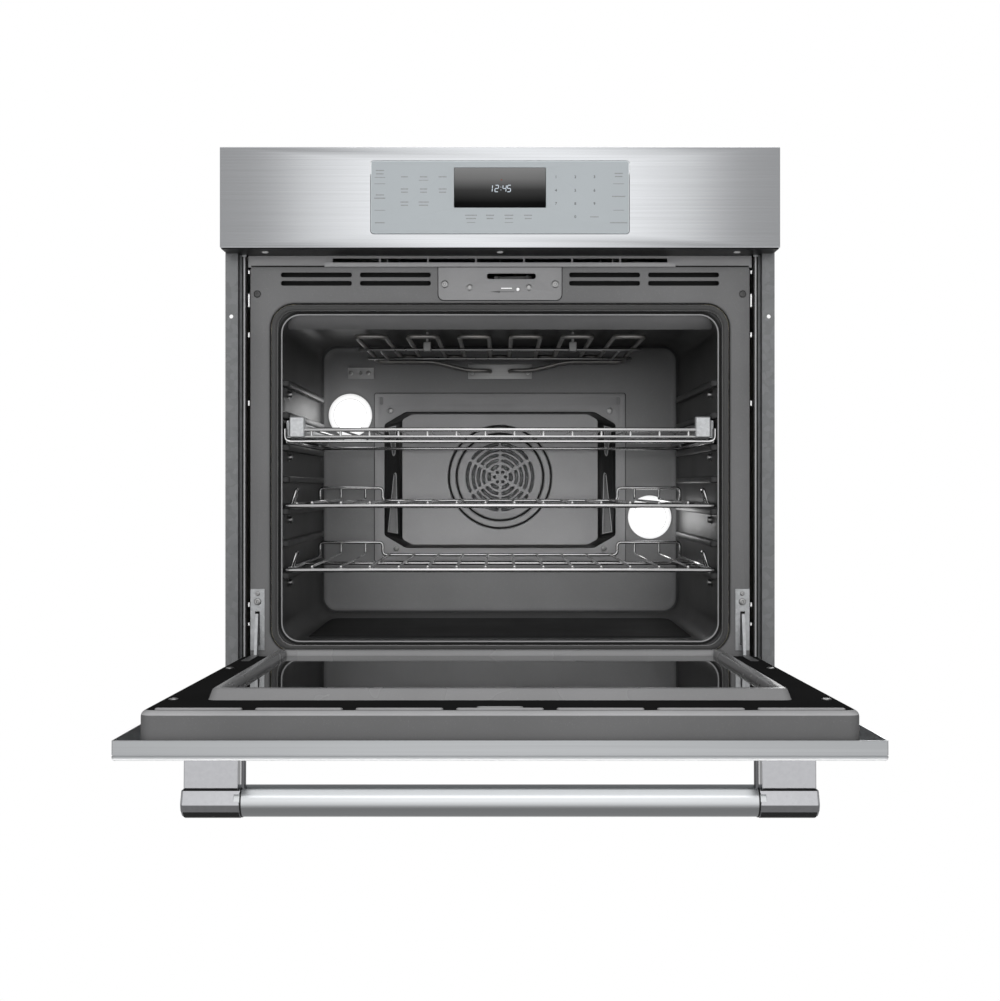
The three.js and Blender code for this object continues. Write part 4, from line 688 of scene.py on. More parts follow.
def layFloor():
    size = {"half": 30, "height": -0.75, "tone": 0.93}
    mesh = bpy.data.meshes.new("floor")
    h, z = size["half"], size["height"]
    mesh.from_pydata([(-h, -h, z), (h, -h, z), (h, h, z), (-h, h, z)], [], [(0, 1, 2, 3)])
    mesh.materials.append(groundPaint("floorPaint", size["tone"]))
    floor = bpy.data.objects.new("floor", mesh)
    bpy.context.scene.collection.objects.link(floor)


layFloor()


def softBox(name, place, aim, width, height, power):
    data = bpy.data.lights.new(name, "AREA")
    data.shape = "RECTANGLE"
    data.size = width
    data.size_y = height
    data.energy = power
    lamp = bpy.data.objects.new(name, data)
    lamp.location = place
    lamp.rotation_euler = (Vector(aim) - Vector(place)).to_track_quat("-Z", "Y").to_euler()
    bpy.context.scene.collection.objects.link(lamp)
    return lamp


# Each power is in watts, and the lamp places are where the cavity lamps stand.
lighting = {"front": 165, "overhead": 9, "cavity": 0.5, "handle": 0.109, "rear": 60, "spill": 0.11}
lampPlaces = {"upper": (-256, 403), "lower": (256, 229)}


def setLights():
    power = lighting
    front = softBox("frontSoftBox", (0, -4.6, 1.0), (0, 0, 0.3), 3.0, 1.6, power["front"])
    front.visible_glossy = False
    softBox("overhead", (0, -0.3, 3.2), (0, -0.1, 0.3), 2.6, 1.6, power["overhead"])
    inner = softBox("cavityFill", inFrame(0, 20, 250), inFrame(0, 465, 218), 0.5, 0.22, power["cavity"])
    inner.data.spread = math.radians(58)
    inner.visible_glossy = False
    strip = softBox("handleStrip", inFrame(0, -520, 11), inFrame(0, -505, -36), 0.52, 0.084, power["handle"])
    strip.visible_camera = False
    softBox("rearFill", (0.6, 3.6, 1.8), (0, 0, 0.4), 2.6, 2.0, power["rear"])
    for which, (x, z) in lampPlaces.items():
        name = which + "LampSpill"
        data = bpy.data.lights.new(name, "POINT")
        data.energy = power["spill"]
        data.shadow_soft_size = 0.02
        spill = bpy.data.objects.new(name, data)
        spill.location = inFrame(x, 435, z)
        spill.visible_glossy = False
        bpy.context.scene.collection.objects.link(spill)


setLights()


# Each list fades the sky along one heading, from its first place to its last.
sky = {
    "across": [(0, 1), (0.1, 0.96), (0.17, 0.86), (0.234, 0.8), (0.292, 0.73), (0.33, 0.66), (0.37, 0.55),
               (0.42, 0.45), (0.48, 0.37), (0.6, 0.35), (1, 0.45)],
    "upright": [(0, 0.5), (0.5, 0.9), (0.6, 1), (0.8, 0.95), (0.97, 0.9), (1, 0.6)],
    "forward": [(0, 1), (0.3, 0.95), (0.5, 0.7), (0.7, 0.45), (1, 0.45)],
    "strength": 1.3,
    "fill": 0.5,
}


# The sky a polished face mirrors: bright behind the camera, fading to both sides, upwards and down.
def lightWorld():
    world = bpy.data.worlds.new("studio")
    world.use_nodes = True
    tree = world.node_tree
    heading = addNode(tree, "ShaderNodeSeparateXYZ")
    tree.links.new(addNode(tree, "ShaderNodeTexCoord").outputs["Generated"], heading.inputs["Vector"])
    aside = addNode(tree, "ShaderNodeMath", operation="ABSOLUTE")
    tree.links.new(heading.outputs["X"], aside.inputs[0])

    def fade(value, low, stops):
        spread = rangeOf(tree, value, 0, 1, low, 1)
        return rampOf(tree, spread, [(place, grey(tone)) for place, tone in stops])

    across = fade(aside.outputs[0], 0, sky["across"])
    upright = fade(heading.outputs["Z"], -1, sky["upright"])
    forward = fade(heading.outputs["Y"], -1, sky["forward"])
    mirrored = blendOf(tree, "MULTIPLY", blendOf(tree, "MULTIPLY", across, upright), forward)
    background = tree.nodes["Background"]
    tree.links.new(mirrored, background.inputs["Color"])
    background.inputs["Strength"].default_value = sky["strength"]
    fill = addNode(tree, "ShaderNodeBackground", Strength=sky["fill"])
    tree.links.new(forward, fill.inputs["Color"])
    seen = addNode(tree, "ShaderNodeBackground")
    seen.inputs["Color"].default_value = (1, 1, 1, 1)
    rays = addNode(tree, "ShaderNodeLightPath")
    soft = mixShaders(tree, rays.outputs["Is Diffuse Ray"], background.outputs["Background"],
                      fill.outputs["Background"])
    whole = mixShaders(tree, rays.outputs["Is Camera Ray"], soft, seen.outputs["Background"])
    tree.links.new(whole, tree.nodes["World Output"].inputs["Surface"])
    bpy.context.scene.world = world
    bpy.context.scene.view_settings.view_transform = "Standard"


lightWorld()
print("camera, floor and lights set")


fascia = {"side": 378, "bottom": 604, "top": 740, "front": -40, "back": -1.8, "sheet": 1.2, "edge": 0.9,
          "screws": (-321, 0, 324), "screwY": -14}
touch = {"side": 174, "bottom": 623, "top": 721, "corner": 4, "front": -40.8, "back": -37.6}
display = {"side": 61.7, "bottom": 658.3, "top": 711.7, "front": -40.9, "back": -38.2}


def buildFascia():
    f = fascia
    parts = Parts()
    rim = roundedRing(-f["side"], f["side"], f["bottom"], f["top"], 1.2, 3)
    inner = shrink(rim, f["edge"])
    middle = shrink(rim, f["edge"] * 0.3)
    room = 0.5  # the panel sits in its window with this much room
    window = roundedRing(-touch["side"] - room, touch["side"] + room, touch["bottom"] - room,
                         touch["top"] + room, touch["corner"] + room)
    wide = shrink(window, -0.4)
    parts.add(*flatFace([inner, wide], f["front"]))
    lining = shrink(rim, f["sheet"])
    front, back = f["front"], f["back"]
    parts.add(*walls((inner, front), (middle, front + f["edge"] * 0.3), (rim, front + f["edge"]),
                     (rim, back), (lining, back), (lining, front + f["sheet"])))
    parts.add(*walls((wide, front), (window, front + 0.4), (window, front + f["sheet"] + 0.6)))
    piece = parts.piece("controlFascia", stainlessFront, "oven_body", "stainless")
    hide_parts("control_fascia")
    # A closing strip runs under the fascia, back to the chassis, and takes three screws. The strip is painted dark
    # as painted shade, and the screws pale as painted glints.
    strip = Parts().add(*block(-376.5, 376.5, -38.6, 31, 602.6, 603.6, 0.3))
    strip.piece("fasciaUnderside", paintedShadeEnamel, "oven_body", "grey_enamel")
    screws = Parts()
    profile = [(4.6, 603.4), (4.6, 602.0), (3.8, 601.3), (2.2, 601.1), (1.4, 601.9), (0.1, 602.0)]
    for x in f["screws"]:
        screws.add(*turnedZ(x, f["screwY"], profile))
    screws.piece("fasciaScrews", screwGlintPaint, "oven_body", "stainless")


buildFascia()


def buildTouchPanel():
    t, d = touch, display
    hole = roundedRing(-d["side"] - 0.3, d["side"] + 0.3, d["bottom"] - 0.3, d["top"] + 0.3, 1.2, 4)
    rim = roundedRing(-t["side"], t["side"], t["bottom"], t["top"], t["corner"])
    panel = pressedSheet(rim, [hole], t["front"], t["back"], 0.7)
    piece = panel.piece("touchPanelGlass", touchGlass, "oven_body", "silver_glass")
    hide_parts("touch_panel")
    line = sheetWithHoles(shrink(rim, 0.2), [shrink(rim, 1.0)], t["front"] + 0.06, t["front"] + 0.3)
    edge = Parts().add(*line)
    edge.piece("touchPanelRim", touchEdge, "oven_body", "silver_glass")
    screen = roundedRing(-d["side"], d["side"], d["bottom"], d["top"], 1.0, 4)
    glass = pressedSheet(screen, [], d["front"], d["back"], 0.4)
    glass = glass.piece("displayGlass", displayGlass, "oven_body", "dark_glass")
    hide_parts("display_window")


buildTouchPanel()


def inkBar(parts, x, z, width, height, y):
    parts.add(*sheetWithHoles(roundedRing(x - width / 2, x + width / 2, z - height / 2, z + height / 2,
                                          min(width, height) * 0.3, 2), [], y - 0.05, y + 0.03))


# A blank stand-in for a word: a row of small equal blocks.
def inkWord(parts, x, z, width, height, y):
    count = max(2, round(width / 1.72))
    pitch = width / count
    for i in range(count):
        inkBar(parts, x - width / 2 + pitch * (i + 0.5), z, pitch * 0.72, height, y)


def inkNumeral(parts, text, x, z, height, y):
    curve = bpy.data.curves.new("numeral", "FONT")
    curve.body = text
    curve.size = height * 1.4
    curve.align_x = "CENTER"
    curve.align_y = "CENTER"
    curve.extrude = 0.03
    curve.offset = 0.1
    holder = bpy.data.objects.new("numeral", curve)
    bpy.context.scene.collection.objects.link(holder)
    bpy.context.view_layer.update()
    mesh = bpy.data.meshes.new_from_object(holder.evaluated_get(bpy.context.evaluated_depsgraph_get()))
    points = [(x + v.co.x, y - v.co.z, z + v.co.y) for v in mesh.vertices]
    parts.add(points, [tuple(polygon.vertices) for polygon in mesh.polygons])
    bpy.data.objects.remove(holder)
    bpy.data.curves.remove(curve)
    bpy.data.meshes.remove(mesh)


# Each key row is its height and width, under how far it is off the middle. In the grid, the third number is 1
# for a second word below and 2 for a small line below. Rows under the display are (place, width, small line).
keys = {
    "tall": 1.55,
    "small": 1.0,
    "digit": 3.6,
    "edges": {-162: [(708, 11), (703.4, 10), (675, 11), (670.6, 15), (637.5, 13)],
              160: [(704, 11), (699.8, 10), (673, 18), (637.5, 23)]},
    "dividers": (690, 654.4),
    "grid": {-128.8: [(699.4, 9, 0), (683, 10, 1), (665.4, 11, 1)],
             -103: [(699.4, 10, 2), (683, 10, 1), (665.4, 14, 1)],
             -77.4: [(699.4, 11, 0), (683, 11, 1)]},
    "under": [(-39, 16, 1), (-13.5, 11, 0), (12, 12, 1), (38, 11, 0)],
    "digitX": (75.5, 101.5, 127.3),
    "digits": {"123": 699.2, "456": 681, "789": 663.2, " 0 ": 645.4},
}


# Word keys are rows of blank blocks. Only numerals are written out.
def printKeys():
    y = touch["front"]
    tall, small = keys["tall"], keys["small"]
    words = Parts()
    lines = Parts()
    for x, rows in keys["edges"].items():
        for z, width in rows:
            inkWord(words, x, z, width, tall, y)
        for z in keys["dividers"]:
            inkBar(lines, x, z, 14.6, 0.6, y)
    inkWord(words, -162, 698.6, 14, small, y)
    for x, rows in keys["grid"].items():
        for z, width, extra in rows:
            inkWord(words, x, z, width, tall, y)
            if extra == 1:
                inkWord(words, x, z - 4.3, width * 0.88, tall, y)
            if extra == 2:
                inkWord(words, x, z - 4.6, width * 1.3, small, y)
    for x, width, low in keys["under"]:
        inkWord(words, x, 647.6, width, tall, y)
        inkWord(words, x, 643.2, width * 0.85, tall, y)
        if low:
            inkWord(words, x, 637.8, 11.5, small, y)
    inkWord(words, 127.3, 645.4, 11.5, tall, y)
    words.piece("keyLegends", wordInk, "oven_body", "silver_glass")
    lines.piece("keyDividers", lineInk, "oven_body", "silver_glass")
    numerals = Parts()
    for digits, z in keys["digits"].items():
        for digit, x in zip(digits, keys["digitX"]):
            if digit != " ":
                inkNumeral(numerals, digit, x, z, keys["digit"], y)
    numerals.piece("keyNumerals", numeralInk, "oven_body", "silver_glass")


printKeys()


# The clock reads 12:45 in leaning seven-bar digits.
def lightClock():
    clock = {"starts": (-15.1, -7.0, 0.9, 3.4, 9.6), "z": 679.3, "width": 4.4, "height": 8.8, "bar": 0.9,
             "lean": 0.09}
    segments = {"1": "bc", "2": "abged", "4": "fgbc", "5": "afgcd"}
    w, h = clock["width"], clock["height"]
    half = h / 2
    bars = {"a": ((0, h), (w, h)), "b": ((w, h), (w, half)), "c": ((w, half), (w, 0)), "d": ((0, 0), (w, 0)),
            "e": ((0, half), (0, 0)), "f": ((0, h), (0, half)), "g": ((0, half), (w, half))}
    y = display["front"] - 0.06
    parts = Parts()
    for mark, x in zip("12:45", clock["starts"]):
        if mark == ":":
            for z in (h * 0.28, h * 0.72):
                inkBar(parts, x + 0.3, clock["z"] + z, 0.9, 0.9, y)
            continue
        for name in segments[mark]:
            (x0, z0), (x1, z1) = bars[name]
            thick = clock["bar"] / 2
            dx, dz = (thick, 0) if x0 == x1 else (0, thick)
            (ax, az), (bx, bz) = [(x0 + (x1 - x0) * t, z0 + (z1 - z0) * t) for t in (0.08, 0.92)]
            corners = [(ax - dx, az - dz), (bx - dx, bz - dz), (bx + dx, bz + dz), (ax + dx, az + dz)]
            ring = [(x + cx + cz * clock["lean"], clock["z"] + cz) for cx, cz in corners]
            parts.add(*sheetWithHoles(ring, [], y - 0.03, y + 0.05))
    parts.piece("clockDigits", clockGlow, "oven_body", "dark_glass")
    dot = Parts()
    inkBar(dot, 2, 695.4, 2.2, 2.0, y)
    dot.piece("statusMark", statusGlow, "oven_body", "dark_glass")


lightClock()
print("fascia built")


frontFrame = {"side": 346, "bottom": 32, "top": 586, "front": 12, "corner": 4, "sheet": 1.2, "back": 27.6,
              "ventZ": (563.6, 575.2), "ventX": (96, 205.5), "vent": 98, "hingeX": 336, "hingeZ": (60, 112),
              "latch": (-30, 61.6, 548, 580), "screw": (336.3, 548.6)}
recess = {"side": 319, "bottom": 51, "top": 536, "corner": 33.5, "back": 21.6}


# A rounded outline from its dictionary, made larger all round by grow.
def grownRing(shape, grow, steps=12):
    side, low, high = shape["side"] + grow, shape["bottom"] - grow, shape["top"] + grow
    return roundedRing(-side, side, low, high, shape["corner"] + grow, steps)


def recessRing(grow):
    return grownRing(recess, grow)


def buildFrontFrame():
    f = frontFrame
    outline = roundedRing(-f["side"], f["side"], f["bottom"], f["top"], f["corner"], 4)
    slots = []
    for z in f["ventZ"]:
        for x in f["ventX"]:
            for side in (-1, 1):
                x0, x1 = sorted((side * x, side * (x + f["vent"])))
                slots.append(roundedRing(x0, x1, z - 3.2, z + 3.2, 2.6, 5))
    slots.append(roundedRing(*f["latch"], 2, 3))
    for x in (-f["hingeX"], f["hingeX"]):
        slots.append(roundedRing(x - 4, x + 4, *f["hingeZ"], 1, 2))
    mouth = recessRing(2.6)
    front, edge = f["front"], 0.5
    parts = Parts()
    rims = [shrink(outline, edge), *[shrink(slot, -edge * 0.6) for slot in slots], mouth]
    parts.add(*flatFace(rims, front))
    sheet, flange, floor = f["sheet"], f["back"], recess["back"]
    lining = shrink(outline, sheet)
    parts.add(*walls((rims[0], front), (shrink(outline, 0.15), front + 0.2), (outline, front + edge),
                     (outline, flange), (lining, flange), (lining, front + sheet)))
    for rim, slot in zip(rims[1:-1], slots):
        parts.add(*walls((rim, front), (slot, front + 0.5), (slot, front + 1.4)))
    well, wide = recessRing(0), recessRing(sheet)
    parts.add(*walls((mouth, front), (wide, front + 0.35), (recessRing(0.4), front + 1.2),
                     (well, front + 2.8), (well, floor), (wide, floor), (wide, front + 2.8)))
    piece = parts.piece("frontFramePanel", frameEnamel, "oven_body", "grey_enamel")
    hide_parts("front_frame")
    screws = Parts()
    screwX, screwZ = f["screw"]
    for x in (-screwX, screwX):
        screwHead(screws, x, front, screwZ, 5.0, 1.8)
    screws.piece("frameScrews", darkScrew, "oven_body", "grey_enamel")
    # Painted shade: a black line over the frame's top edge, black sheets behind the vent slots, and dark strips over
    # the side panels' front edges.
    shade = Parts().add(*block(-345, 345, front + 0.3, front + 0.9, 586.2, 588.0, 0.05))
    for side in (-1, 1):
        shade.add(*sideBlock(side, 88, 312, 26.4, 27.2, 556, 583, 0.05))
        shade.add(*sideBlock(side, 350.8, 357.2, 9.0, 9.6, 8, 600, 0.05))
    shade.piece("frameShadeStrips", shadePaint, "oven_body", "grey_enamel")
    # Slim folded edges, painted pale as a highlight line, and small bright marks, painted glints of light seen
    # through the gap, show beside the frame.
    folds = Parts()
    clips = Parts()
    for side in (-1, 1):
        folds.add(*sideBlock(side, 352.6, 354.8, 8.5, 9.1, 8, 600, 0.05))
        for low, high in [(577, 581.5), (531, 549), (489, 495.5), (394, 401), (115, 121), (89, 93)]:
            clips.add(*sideBlock(side, 347.4, 349.4, 13.4, 15, low, high, 0.3))
    folds.piece("panelFolds", highlightEnamel, "oven_body", "galvanised")
    clips.piece("frameGapGlints", whiteAndGlintPaint, "oven_body", "galvanised")


buildFrontFrame()


latch = {"side": 85.4, "bottom": 540, "top": 585.4, "front": 10.2, "sheet": 1.4, "screwZ": 562,
         "buttonZ": 557.5}


def buildLatchPlate():
    side, bottom, top, y0, sheet = [latch[key] for key in ("side", "bottom", "top", "front", "sheet")]
    outline = [(x, z) for x, z in roundedRing(-side, side, bottom, top + 8, 8, 6) if z <= top - 0.1]
    outline = [(side, top), (-side, top)] + [p for p in outline if p[1] <= bottom + 8.01]
    slot = roundedRing(-18, 49.6, 569.3, 576.9, 3, 5)
    pin = circleRing(24.8, 554.8, 2.6, 14)
    plate = pressedSheet(outline, [slot, pin], y0, y0 + sheet, 0.45)
    piece = plate.piece("latchCover", latchEnamel, "oven_body", "latch_metal")
    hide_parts("latch_plate")
    # A black sheet paints the shade in the gap round the plate as a thin dark line.
    behind = y0 + sheet + 0.1
    shade = Parts().add(*sheetWithHoles(shrink(outline, -1.1), [slot, pin], behind, behind + 0.2))
    shade.piece("latchShadeLine", shadePaint, "oven_body", "latch_metal")
    screws = Parts()
    button = [(4.4, 0.2), (4.4, -0.3), (3.4, -0.9), (1.8, -1.2), (0.1, -1.25)]
    for x in (-76.5, 76.5):
        screwHead(screws, x, y0, latch["screwZ"], 5.2, 1.6)
    for x in (-42, 40):
        screws.add(*turned(x, y0, latch["buttonZ"], button, 18))
    screws.piece("latchScrews", screwSteel, "oven_body", "latch_metal")
    # A small stamped mark: a bar over an arrow, beside the switch.
    mark = Parts()
    inkBar(mark, 9, 556.4, 15, 1.2, y0)
    mark.piece("latchMark", whiteAndGlintPaint, "oven_body", "latch_metal")
    pointer = [(-14, 551.6), (0, 550.2), (0, 551.2), (20, 551.2), (20, 552), (0, 552), (0, 553)]
    arrow = Parts().add(*sheetWithHoles(pointer, [], y0 - 0.05, y0 + 0.05))
    arrow.piece("latchArrow", numeralInk, "oven_body", "latch_metal")


buildLatchPlate()
keep("vent_grille", lipEnamel, 0.3)
# The hook sits in the latch slot's shade, so its steel is painted dark.
keep("latch_hook", shadedHookSteel, 0.3)
keep("latch_motor", zincSheet, 0.3)
keep("switch_plunger", whiteAndGlintPaint, 0.3)
print("front frame built")


cavity = {"side": 304, "bottom": 66, "top": 521, "corner": 26, "mouth": 22, "back": 465, "fillet": 12}


def cavityRing(grow):
    return grownRing(cavity, grow)


def buildCavity():
    c = cavity
    mouth, back, fillet = c["mouth"], c["back"], c["fillet"]
    flange = [(14.6, 1.2), (14.6, 0), (2.4, 0), (0.9, 0.3), (0.2, 1.1), (0, 2.4)]
    rings = [atY(cavityRing(grow), mouth + depth) for grow, depth in flange]
    for y in (60, 120, 200, 280, 360, 420, back - fillet):
        rings.append(atY(cavityRing(0), y))
    bend = []
    for i in range(1, 9):
        turn = math.radians(90 * i / 8)
        bend.append(atY(cavityRing(-fillet * (1 - math.cos(turn))), back - fillet + fillet * math.sin(turn)))
    liner = Parts().add(*loft(rings + bend[:4]))
    piece = liner.piece("cavityLiner", cavityEnamel, "oven_body", "grey_enamel", 50)
    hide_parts("oven_cavity")
    # The back wall is painted lighter than the side walls as painted light from the front.
    wall = Parts().add(*loft(bend[3:], False, True))
    wall.piece("cavityBackWall", backLitEnamel, "oven_body", "grey_enamel", 50)
    # The mouth: a black ring of painted shade behind the seal, then a rolled lip painted pale as a highlight.
    gap = Parts()
    gap.add(*sheetWithHoles(cavityRing(4.6), [cavityRing(0.8)], mouth - 0.5, mouth - 0.2))
    gap.piece("mouthShadeRing", shadePaint, "oven_body", "seal")
    lip = [(1.2, 0.1), (0.8, -0.7), (0.1, -1.0), (-0.6, -0.7), (-0.9, 0.3), (-0.9, 2.2)]
    roll = Parts().add(*loft([atY(cavityRing(grow), mouth + depth) for grow, depth in lip]))
    roll.piece("mouthLip", highlightEnamel, "oven_body", "grey_enamel", 60)


buildCavity()


ledge = {"lowest": 156.5, "pitch": 45, "rows": 7, "front": 31, "back": 428, "reach": 9.6, "half": 5,
         "studs": 4, "studY": 84}


# A long pressed ledge on a side wall, with rounded ends.
def pressedLedge(parts, side, z):
    wall, reach, half = cavity["side"] + 0.4, ledge["reach"], ledge["half"]
    rings = []
    ends = [(0, 0.02), (1.2, 0.5), (3.2, 0.8), (6, 0.95), (10, 1)]
    stations = [(ledge["front"] + run, scale) for run, scale in ends]
    stations += [(ledge["back"] - run, scale) for run, scale in reversed(ends)]
    for y, scale in stations:
        ring = []
        for i in range(13):
            turn = math.pi * i / 12
            bulge = abs(math.sin(turn)) ** 0.45 * reach * scale
            rise = -math.copysign(abs(math.cos(turn)) ** 0.45, math.cos(turn)) * half * (0.5 + 0.5 * scale)
            ring.append((side * (wall - bulge), y, z + rise))
        rings.append(ring)
    parts.add(*loft(rings, True, True))


def buildLedges():
    ledges = Parts()
    studs = Parts()
    profile = [(6.6, 304.2), (6.6, 303.2), (4.6, 302.6), (4.4, 299.4), (3.6, 298.2), (1.8, 297.7),
               (0.1, 297.6)]
    for side in (-1, 1):
        for n in range(ledge["rows"]):
            pressedLedge(ledges, side, ledge["lowest"] + ledge["pitch"] * n)
        for n in range(ledge["studs"]):
            z = ledge["lowest"] + 10 + (2 * n - 0.5) * ledge["pitch"]
            studs.add(*turnedX(ledge["studY"], z, [(radius, side * x) for radius, x in profile], 18))
    ledges.piece("sideLedges", cavityEnamel, "oven_body", "grey_enamel", 50)
    studs.piece("wallStuds", screwSteel, "oven_body", "grey_enamel")


buildLedges()


# The header's section is (depth, height), and the field steps up in (inset, height).
roofHeader = {"section": [(24.5, 521.6), (27, 519.6), (58, 505.6), (61, 504.9), (64, 506.2), (66, 509), (68, 521.6)],
              "across": (-300, -292, 292, 300)}
floorField = {"side": 276, "front": 64, "back": 344, "corner": 22,
              "rise": [(0, 65.8), (1.5, 66.6), (5, 68.2), (8, 68.6)]}


# The roof drops behind the mouth, and the floor has a shallow raised field.
def buildRoofAndFloor():
    rings = [[(x, y, z) for y, z in roofHeader["section"]] for x in roofHeader["across"]]
    lid = Parts().add(*loft(rings, True, True))
    # The header is painted lighter than the cavity walls as painted light on its front-facing slope.
    lid.piece("roofHeader", headerLitEnamel, "oven_body", "grey_enamel", 30)
    f = floorField
    rings = []
    for inset, height in f["rise"]:
        side = f["side"] - inset
        flat = roundedRing(-side, side, f["front"] + inset, f["back"] - inset, f["corner"] - inset, 6)
        rings.append([(x, y, height) for x, y in flat])
    field = Parts().add(*loft(rings, False, True))
    # The raised field is painted darker than the walls as painted shade.
    field.piece("floorField", floorShadedEnamel, "oven_body", "grey_enamel", 50)


buildRoofAndFloor()


seal = {"inset": (2.5, 10.5), "front": 8.5, "back": 21.7, "sides": 16}


def buildSeal():
    outer, inner = [recessRing(-inset) for inset in seal["inset"]]
    y0, y1, sides = seal["front"], seal["back"], seal["sides"]
    rings = []
    n = len(outer)
    middle = [((a[0] + b[0]) / 2, (a[1] + b[1]) / 2) for a, b in zip(outer, inner)]
    section = []
    for i in range(sides):
        turn = 2 * math.pi * i / sides
        u = math.copysign(abs(math.cos(turn)) ** 0.6, math.cos(turn))
        v = math.copysign(abs(math.sin(turn)) ** 0.6, math.sin(turn))
        section.append((u, (y0 + y1) / 2 + v * (y1 - y0) / 2))
    for i in range(n):
        half = ((outer[i][0] - inner[i][0]) / 2, (outer[i][1] - inner[i][1]) / 2)
        rings.append([(middle[i][0] + half[0] * u, y, middle[i][1] + half[1] * u) for u, y in section])
    rings.append(rings[0])
    piece = Parts().add(*loft(rings)).piece("doorSealSleeve", sealKnit, "oven_body", "seal", 60)
    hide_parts("cavity_seal")


buildSeal()
print("cavity built")


broil = {"z": 499, "radius": 3.3, "front": 98, "back": 418, "half": 21.5, "pitch": 75, "legX": 17,
         "plateZ": 478, "rodY": (236, 388), "rod": 2.2}


def buildBroilElement():
    b = broil
    centres = [b["pitch"] * i for i in (-2.5, -1.5, -0.5, 0.5, 1.5, 2.5)]
    back = cavity["back"]
    leg, plateZ, end, low = b["legX"], b["plateZ"], centres[0] - b["half"], b["z"] - 7
    start = [(-leg, back + 20, plateZ), (-leg, back - 24, plateZ), (-54, back - 24, plateZ),
             (-112, b["back"] + 14, low), (end, b["back"] + 14, low), (end, b["back"] - 14, b["z"])]
    route = list(start)
    for i, x in enumerate(centres):
        if i:
            route.append((x - b["half"], b["back"], b["z"]))
        route += [(x - b["half"], b["front"], b["z"]), (x + b["half"], b["front"], b["z"])]
        if i < len(centres) - 1:
            route.append((x + b["half"], b["back"], b["z"]))
    route += [(-x, y, z) for x, y, z in reversed(start)]
    parts = Parts().add(*tube(bent(route, 15, 6), b["radius"], 14))
    piece = parts.piece("broilTube", sheath, "oven_body", "element_metal", 60)
    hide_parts("broil_element")
    plate = pressedSheet(roundedRing(-54.7, 54.7, 465.5, 491, 1.2, 3), [], back - 1.9, back - 0.3, 0.4)
    plate.piece("broilPlate", plateSteel, "oven_body", "latch_metal")
    screws = Parts()
    for x in (-47.5, 47.5):
        screwHead(screws, x, back - 1.9, 475.7, 4.6, 1.7)
    screws.piece("broilPlateScrews", screwSteel, "oven_body", "latch_metal")


buildBroilElement()


def buildBroilHangers():
    b = broil
    front, back = b["rodY"]
    z = b["z"] - 3.2 - b["rod"] - 0.3
    reach = 2.5 * b["pitch"] + b["half"] + 8
    parts = Parts()
    for y in (front, back):
        parts.add(*tube([(-reach, y, z), (reach, y, z)], b["rod"], 12))
    for x in (-184, 184):
        parts.add(*tube([(x, front, z - 2), (x, back, z - 2)], 2.0, 10))
    piece = parts.piece("broilRods", screwSteel, "oven_body", "element_metal")
    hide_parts("broil_support")
    clips = Parts()
    for side in (-1, 1):
        x = side * 112.5
        clips.add(*block(x - 6, x + 6, front - 6, front + 4, z - 3, b["z"] + 6, 0.8))
        clips.add(*block(x - 2, x + 2, front - 4, front + 2, b["z"] + 5, cavity["top"] - 0.4, 0.4))
    clips.piece("broilClips", plateSteel, "oven_body", "element_metal")


buildBroilHangers()
keep("temperature_probe", plateSteel, 0.3)
probeScrews = Parts()
for x in (-254.6, -225.2):
    screwHead(probeScrews, x, 463.5, 475.6, 4.0, 1.6)
probeScrews.piece("probeScrews", screwSteel, "oven_body", "latch_metal")
keep("bake_element", sheath)
keep("convection_element", sheath)


# Each profile is (radius, depth off the wall).
lamp = {
    "rim": [(37, 0), (37, -1.8), (36.2, -2.8), (34.6, -3.4), (30.2, -3.4), (29.0, -3.0), (27.9, -2.2),
            (27.7, -1)],
    "dome": [(27.6, -1), (27.4, -3), (26.3, -4.6), (23.4, -6.3), (18.2, -7.8), (11.5, -8.6), (4.8, -8.9),
             (0.1, -8.95)],
    "joint": (28.4, 27.0),
    "sides": 48,
}


def buildLamp(which, x, z):
    y, sides = cavity["back"] - 0.3, lamp["sides"]
    rim = Parts().add(*turned(x, y, z, lamp["rim"], sides))
    rimPiece = rim.piece("lampRim_" + which, lampRimGlow, "oven_body", "lamp_glass")
    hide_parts("lamp_lens_" + which)
    dome = Parts().add(*turned(x, y, z, lamp["dome"], sides))
    dome.piece("lampDome_" + which, lampGlow, "oven_body", "lamp_glass")
    outer, inner = [circleRing(x, z, radius, sides) for radius in lamp["joint"]]
    joint = Parts().add(*sheetWithHoles(outer, [inner], y - 3.7, y - 3.2))
    joint.piece("lampJoint_" + which, lampJointGlow, "oven_body", "lamp_glass")
    keep("lamp_housing_" + which, zincSheet)
    keep("lamp_bulb_" + which, lampRimGlow)


for which, (x, z) in lampPlaces.items():
    buildLamp(which, x, z)
print("elements and lamps built")


cover = {
    "side": 214.3, "bottom": 154, "top": 440.6, "front": 431.7, "back": 464.7,
    "baseX": 197.7, "baseZ": (176.6, 409), "faceX": 164, "faceZ": (184, 402.7),
    "fanZ": 297.4, "guard": 89, "disc": 70.4, "sides": 64, "slots": (18.3, 28, 36.8, 45.4, 55.4),
    "screws": [(-187.6, 411), (187.6, 411), (-177.5, 175), (177.5, 175)],
}


def octagon(halfX, z0, z1, cutX, cutZ):
    right = [(halfX - cutX, z0), (halfX, z0 + cutZ), (halfX, z1 - cutZ), (halfX - cutX, z1)]
    return right[1:] + [(-x, z) for x, z in reversed(right)] + right[:1]


# Rounds every corner of a ring of (x, z) with a few points.
def softCorners(ring, radius, steps=3):
    return [(p.x, p.y) for p in bent([(x, z, 0) for x, z in ring], radius, steps, True)]


